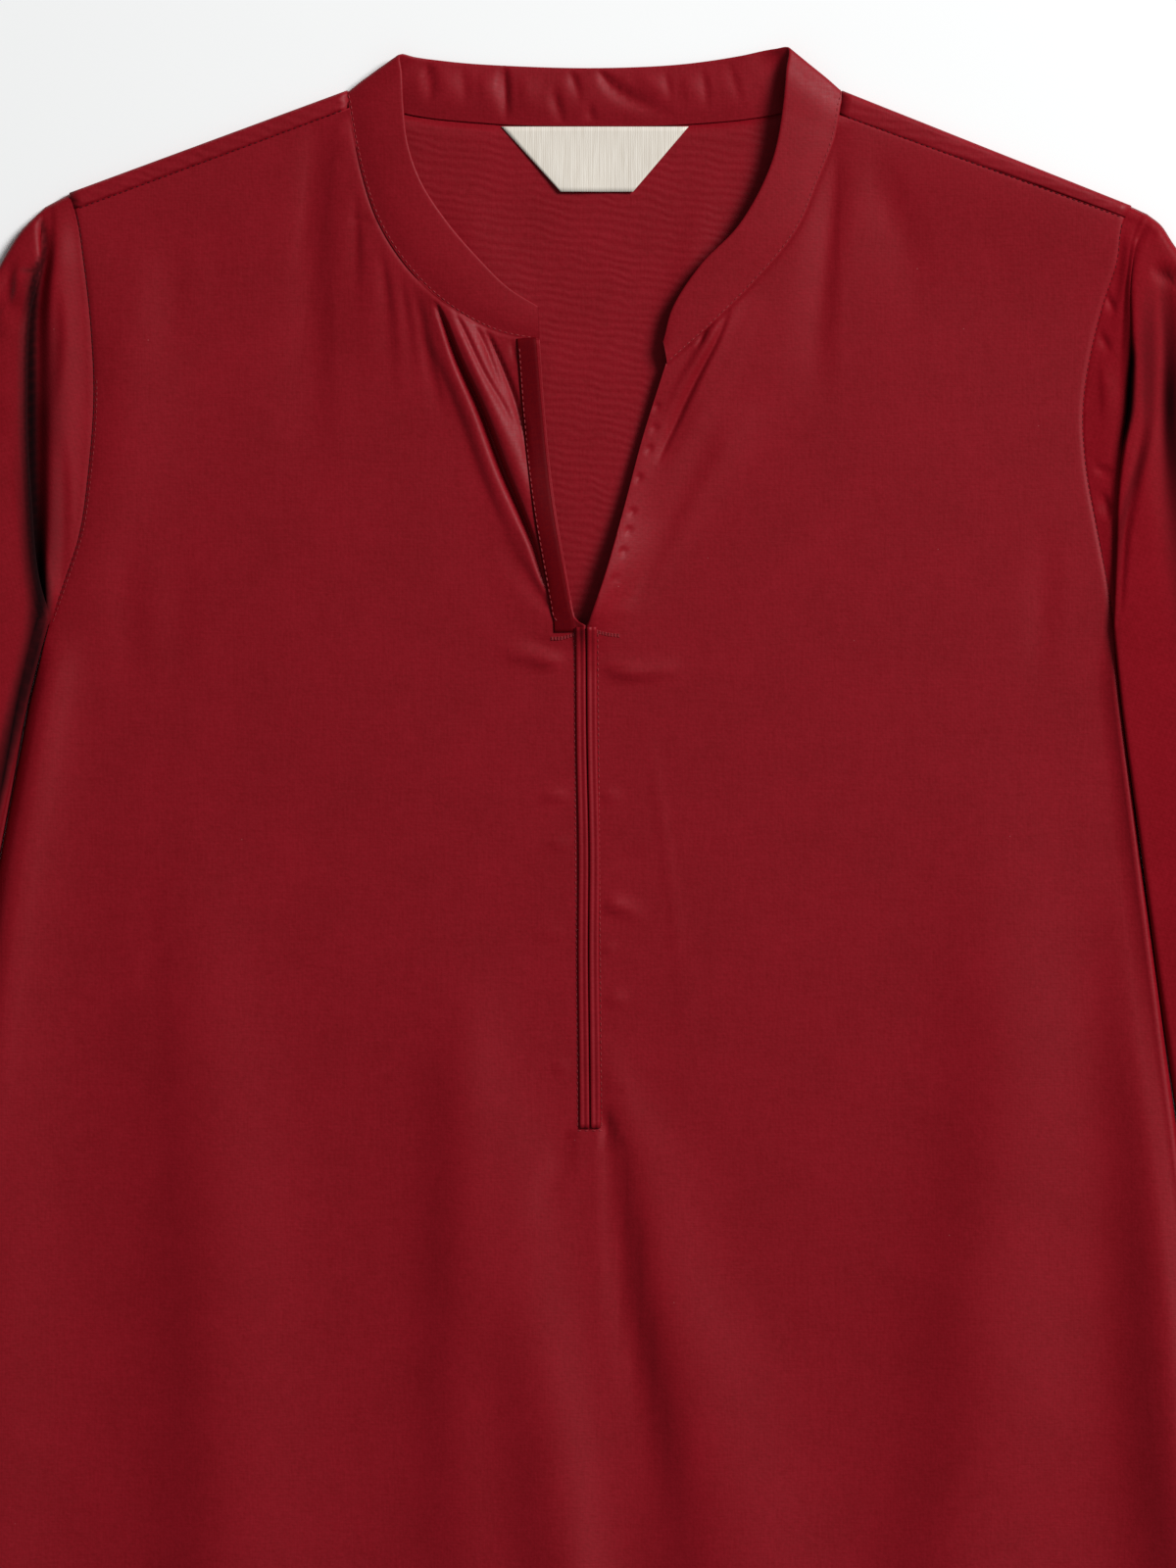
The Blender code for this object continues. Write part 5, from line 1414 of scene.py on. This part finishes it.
def lay_strip(name, side, edge, profile, material, node):
    """A ribbon beside an edge; its profile is rows of (way from the edge, height over the front)."""
    profile = np.array(profile)
    square = square_to(edge) * OUTWARD[side]
    plan = edge[:, None] + square[:, None] * profile[None, :, :1]
    middle = edge + square * profile[:, 0].mean()
    base = front_surface(plan)
    smooth = front_surface(middle[:, None])
    height = FOLLOW * base + (1 - FOLLOW) * smooth + profile[None, :, 1]
    height = np.maximum(height, base + profile[None, :, 1] * LEAST)
    faces = grid_faces(len(edge), len(profile), flip=side == "left")
    return cloth(name, world(plan, height), faces, material, wall_mm=LAYER_MM, node=node)


# %% The strip and both welts
# Across a strip: way from the slit's edge, height over the middle of the front's cloth (mm). Each
# starts under the fold that shows and ends under the stitched edge.
STRIP_PROFILE = [(3.4, 0.42), (2.2, 0.42), (1.3, 0.43), (1.0, 0.53), (1.3, 0.64), (2.2, 0.68), (3.6, 0.69),
                 (5.0, 0.69), (6.4, 0.68), (7.5, 0.64), (7.9, 0.53), (7.5, 0.42), (6.6, 0.42), (5.6, 0.42)]
WELT_PROFILE = [(0.6, 0.41), (1.4, 0.40), (2.6, 0.40), (3.3, 0.41), (3.6, 0.50), (3.3, 0.60), (2.4, 0.62),
                (1.4, 0.62), (0.6, 0.62), (0.12, 0.76), (0.3, 1.06), (0.8, 1.20), (1.3, 1.06), (1.7, 0.86),
                (2.1, 0.90), (2.6, 1.10), (3.1, 1.04), (3.55, 0.80)]
STRIP_EDGE = [(-17.6, 103.2)] + SLIT_EDGE["right"][1:-1] + [(-4.2, 208.2)]
strip = lay_strip("slit_strip_cloth", "right", smooth_path(STRIP_EDGE, 84), STRIP_PROFILE, rayon_cross,
                  "slit_strip")
WELT_WANDER_MM = 0.35  # the welts aren't pressed quite straight
WANDER_WAVE_MM = (255, 19)  # down at which the wave starts, and its length
WANDER_RANGE_MM = (285, 45)  # where it is strongest, and how far it reaches
welt_down = np.linspace(206.6, SLIT_END_MM - 0.3, 120)
wander = WELT_WANDER_MM * np.sin((welt_down - WANDER_WAVE_MM[0]) / WANDER_WAVE_MM[1])
wander = wander * bell((welt_down - WANDER_RANGE_MM[0]) / WANDER_RANGE_MM[1])
welts = {}
for side in SIDES:
    edge = np.stack([slit_edge(side, welt_down) + wander, welt_down], 1)
    welts[side] = lay_strip(side + "_welt", side, edge, WELT_PROFILE, rayon, "welt_" + side)
for piece in (strip, *welts.values()):
    tell(piece)

# %% [markdown]
# ## The label
#
# A woven tape, tucked into the neck seam and cut to a trapezoid. It is bare. Its lower edge stands off
# the back a little, which gives it the thin shadow along its slanted end.

# %% Label
LABEL_WALL_MM = 0.35
LABEL_GRID = (14, 34)  # rows, columns
LABEL_GAP_MM = 0.08  # over the back, at the neck seam
LABEL_LIFT_MM = 0.9  # more at its lower edge
LABEL_WAVE_MM = 0.25  # which waves a little


def label():
    """The bare tape, tucked under the band at its upper edge."""
    rows, columns = LABEL_GRID
    upper, lower = np.array(LABEL_TOP), np.array(LABEL_BOTTOM)
    part = np.linspace(0, 1, columns)[None, :, None]
    down = np.linspace(0, 1, rows)[:, None, None]
    ends = [(1 - down) * upper[k] + down * lower[k] for k in (0, 1)]
    plan = (1 - part) * ends[0] + part * ends[1]
    wave = LABEL_WAVE_MM * np.sin(np.pi * part[..., 0] * 2 + 0.4) * down[..., 0]
    lift = LABEL_LIFT_MM * down[..., 0] ** 1.5 + wave
    height = BACK_MM + CLOTH_MM / 2 + LABEL_WALL_MM / 2 + LABEL_GAP_MM + lift
    return cloth("label_tape_piece", world(plan, height), grid_faces(rows, columns, flip=True), tape,
                 wall_mm=LABEL_WALL_MM, node="label")


label_piece = label()
tell(label_piece)

# %% [markdown]
# ## Stitches
#
# A lockstitch shows as a row of short dashes, each pulled into the cloth at both ends. Every stitch is
# a small tapered body lying on the cloth, and all the stitches of one seam are one mesh. They are
# 2.1 mm apart, about 12 to the inch; the tacks at the bottom of the V are closer.

# %% A row of stitches
STITCH_RINGS = [(-1.0, 0.30), (-0.6, 0.85), (0.0, 1.0), (0.6, 0.85), (1.0, 0.30)]  # along, thickness
STITCH_SIDES = 6
draw = np.random.default_rng(12)


STITCH_SIZE_MM = (1.55, 0.2)  # length, half thickness
UNEVEN = (0.88, 1.06)  # shortest and longest, as shares of the length


def sew(name, runs, pitch=STITCH_MM, length=STITCH_SIZE_MM[0], radius=STITCH_SIZE_MM[1], material=thread):
    """Stitches along each run of surface points (metres); a run lies on the cloth's upper face."""
    vertices, faces = [], []
    up = np.array([0.0, 0.0, 1.0])
    for run in runs:
        run = np.array(run)
        travelled = way_along(run)
        count = int(travelled[-1] / (pitch * MM))
        for k in range(count):
            at = (k + 0.5) * travelled[-1] / count
            half = length * MM / 2 * draw.uniform(*UNEVEN)
            start, middle, end = [np.array([np.interp(at + step, travelled, axis) for axis in run.T])
                                  for step in (-half, 0, half)]
            along = (end - start) / np.linalg.norm(end - start)
            side = np.cross(up, along)
            side /= np.linalg.norm(side)
            over = np.cross(along, side)
            first = len(vertices)
            for way, thick in STITCH_RINGS:
                centre = middle + along * way * half + over * radius * MM * (0.25 - 0.55 * way * way)
                for turn in range(STITCH_SIDES):
                    angle = math.tau * turn / STITCH_SIDES
                    vertices.append(centre + radius * MM * thick * (side * math.cos(angle)
                                                                   + over * math.sin(angle)))
            faces += grid_faces(len(STITCH_RINGS), STITCH_SIDES, ring=True, first=first, flip=True)
            faces.append([first + turn for turn in range(STITCH_SIDES)])
            last = first + STITCH_SIDES * (len(STITCH_RINGS) - 1)
            faces.append([last + turn for turn in range(STITCH_SIDES)][::-1])
    piece = cloth(name, vertices, faces, material, wall_mm=0)
    print(name, len(faces) // (STITCH_SIDES * (len(STITCH_RINGS) - 1) + 2), "stitches")
    return piece


def on_front(line):
    """Points on the upper face of the front."""
    line = np.array(line, float)
    return world(line, front_surface(line) + CLOTH_MM / 2)


# %% Seams of the body
BESIDE_SEAM_MM = 0.25
TOPSTITCH_MM = 1.2  # a short row beside the right armhole, from this far down
TOPSTITCH_START_MM = 118
shoulder_runs = []
armhole_runs = []
for side in SIDES:
    shoulder_runs.append(on_front(shoulder_line(side, SHOULDER_SEAM, BESIDE_SEAM_MM, 80)[1:-2]))
    armhole_runs.append(on_front(armhole(side, SHOULDER_SEAM[side][0][1] + 2, 120, BESIDE_SEAM_MM)))
# the shoulder and armhole stitches take the thread painted dark as painted shade
shoulder_stitches = sew("shoulder_stitches", shoulder_runs, material=painted_shade_thread)
armhole_stitches = sew("armhole_stitches", armhole_runs, length=1.9, radius=0.17, material=painted_shade_thread)
topstitch_run = on_front(armhole("right", TOPSTITCH_START_MM, 80, TOPSTITCH_MM))
topstitches = sew("armhole_topstitches", [topstitch_run], radius=0.15)

# %% Seams of the neck band
# The band is stitched down just inside its seam edge, and along its free edge where it lies open.
OPEN_ROWS = slice(150, 290)
edge_run = band_top[:, BAND_STEPS.index(0.05)]
free_run = band_top[:, BAND_STEPS.index(0.92)]
print("band length along its seam:", round(float(way_along(edge_run)[-1]), 3), "m")
band_stitches = sew("band_stitches", [edge_run[3:-3]])
band_edge_stitches = sew("band_edge_stitches", [free_run[OPEN_ROWS]])

# %% Seams of the slit
down_open = np.linspace(107, 204.5, 90)
down_closed = np.linspace(208.5, SLIT_END_MM - 0.5, 120)
FROM_SLIT_MM = {"strip": 7.4, "right welt": 4.2, "left welt": 4.0}
STRIP_TOP_MM = 0.6  # the strip's upper side over the front's
CLOSING_ROW = [(x, 386.2) for x in np.linspace(-4.4, 5.6, 12)]  # across the welts' lower ends


def beside_slit(side, down, away):
    """A line down the front beside the slit (mm)."""
    return np.stack([slit_edge(side, down) + away * OUTWARD[side], down], 1)


strip_run = on_front(beside_slit("right", down_open, FROM_SLIT_MM["strip"]))
strip_run[:, 2] += STRIP_TOP_MM * MM
slit_stitches = sew("slit_strip_stitches", [strip_run], radius=0.22)
welt_runs = [on_front(beside_slit(side, down_closed, FROM_SLIT_MM[side + " welt"])) for side in SIDES]
welt_stitches = sew("welt_stitches", welt_runs + [on_front(CLOSING_ROW)])

# %% Tacks
# Each tack is sewn to and fro, three rows of stitches over each other: its line, across and down.
TACKS = [[(-13.4, 210.6), (-9.0, 210.4), (-4.6, 209.0)], [(2.6, 208.0), (6.5, 209.0), (11.4, 209.6)]]
TACK_ROWS_MM = [-0.4, 0.0, 0.4]
tack_runs = [on_front(smooth_path(tack, 20) + np.array([0, row])) for tack in TACKS for row in TACK_ROWS_MM]
tack_stitches = sew("tack_stitches", tack_runs, pitch=1.1, length=1.15, radius=0.27, material=tack_thread)

# %% Hems
HEM_STITCHES = {"pitch": 2.6, "length": 1.9}
HEM_POINTS = 400
HEM_RUN_MM = 284  # it stops short of the side seams
INTO_HEM_MM = 1.0  # from the turning's upper edge to the stitches
across = np.linspace(-HEM_RUN_MM, HEM_RUN_MM, HEM_POINTS)
hem_line = np.stack([across, hem_down(across) - HEM_DEPTH_MM + INTO_HEM_MM], 1)


def cuff_runs(side):
    """The stitched line round the upper side of a cuff."""
    net = sleeve_net(side)
    row = net[4] + 1
    return [world(net[1][row], net[2][row] + CLOTH_MM / 2)[6:-5]]


hem_stitches = sew("front_hem_stitches", [on_front(hem_line)], **HEM_STITCHES)
under_hem = world(hem_line, np.full(HEM_POINTS, BACK_MM + CLOTH_MM / 2))
back_hem_stitches = sew("back_hem_stitches", [under_hem], **HEM_STITCHES)
cuff_stitches = {side: sew(side + "_cuff_stitches", cuff_runs(side), **HEM_STITCHES) for side in SIDES}

# %% [markdown]

# %% [markdown]
# ## Table, light and camera
#
# The tunic lies on a plain pale board. One large soft light stands to the upper right, so every fold
# has its shaded side on the left, and the room fills the rest with even light. The camera looks
# straight down on the upper part.

# %% Table top
TABLE_M = 9.0
board = bpy.data.meshes.new("table_top")
corners = [(x * TABLE_M / 2, y * TABLE_M / 2, 0) for x, y in ((-1, -1), (1, -1), (1, 1), (-1, 1))]
board.from_pydata(corners, [], [(0, 1, 2, 3)])
table_top = place("table_top", board)
table_top.data.materials.append(painted_board())

# %% Light
KEY_FROM = (2.6, 2.0, 2.7)
KEY_WATTS = 217.0
KEY_SIZE_M = 1.5
AIM = (0.0, 0.22, 0.0)
ROOM_STRENGTH = 0.2
key = place("key_light", bpy.data.lights.new("key_light", "AREA"))
key.data.energy = KEY_WATTS
key.data.size = KEY_SIZE_M
key.location = KEY_FROM
key.rotation_euler = (Vector(AIM) - Vector(KEY_FROM)).to_track_quat("-Z", "Y").to_euler()
room = bpy.data.worlds.new("room")
room.use_nodes = True
set_inputs(room.node_tree, room.node_tree.nodes["Background"],
           {"Color": (1.0, 1.0, 1.0, 1.0), "Strength": ROOM_STRENGTH})
bpy.context.scene.world = room
bpy.context.scene.view_settings.view_transform = "Standard"
print("key light", KEY_WATTS, "W from", KEY_FROM)

# %% Camera
VIEW_HEIGHT_M = 0.560  # what the frame takes in from top to bottom
VIEW_CENTRE_M = (0.0, 0.2375)
CAMERA_UP_M = 2.4
SENSOR_MM = 36.0
camera = place("camera", bpy.data.cameras.new("camera"))
camera.data.sensor_width = SENSOR_MM
camera.data.lens = SENSOR_MM * CAMERA_UP_M / VIEW_HEIGHT_M
camera.location = (*VIEW_CENTRE_M, CAMERA_UP_M)
camera.data.clip_end = 50.0
bpy.context.scene.camera = camera
print("lens", round(camera.data.lens, 1), "mm")
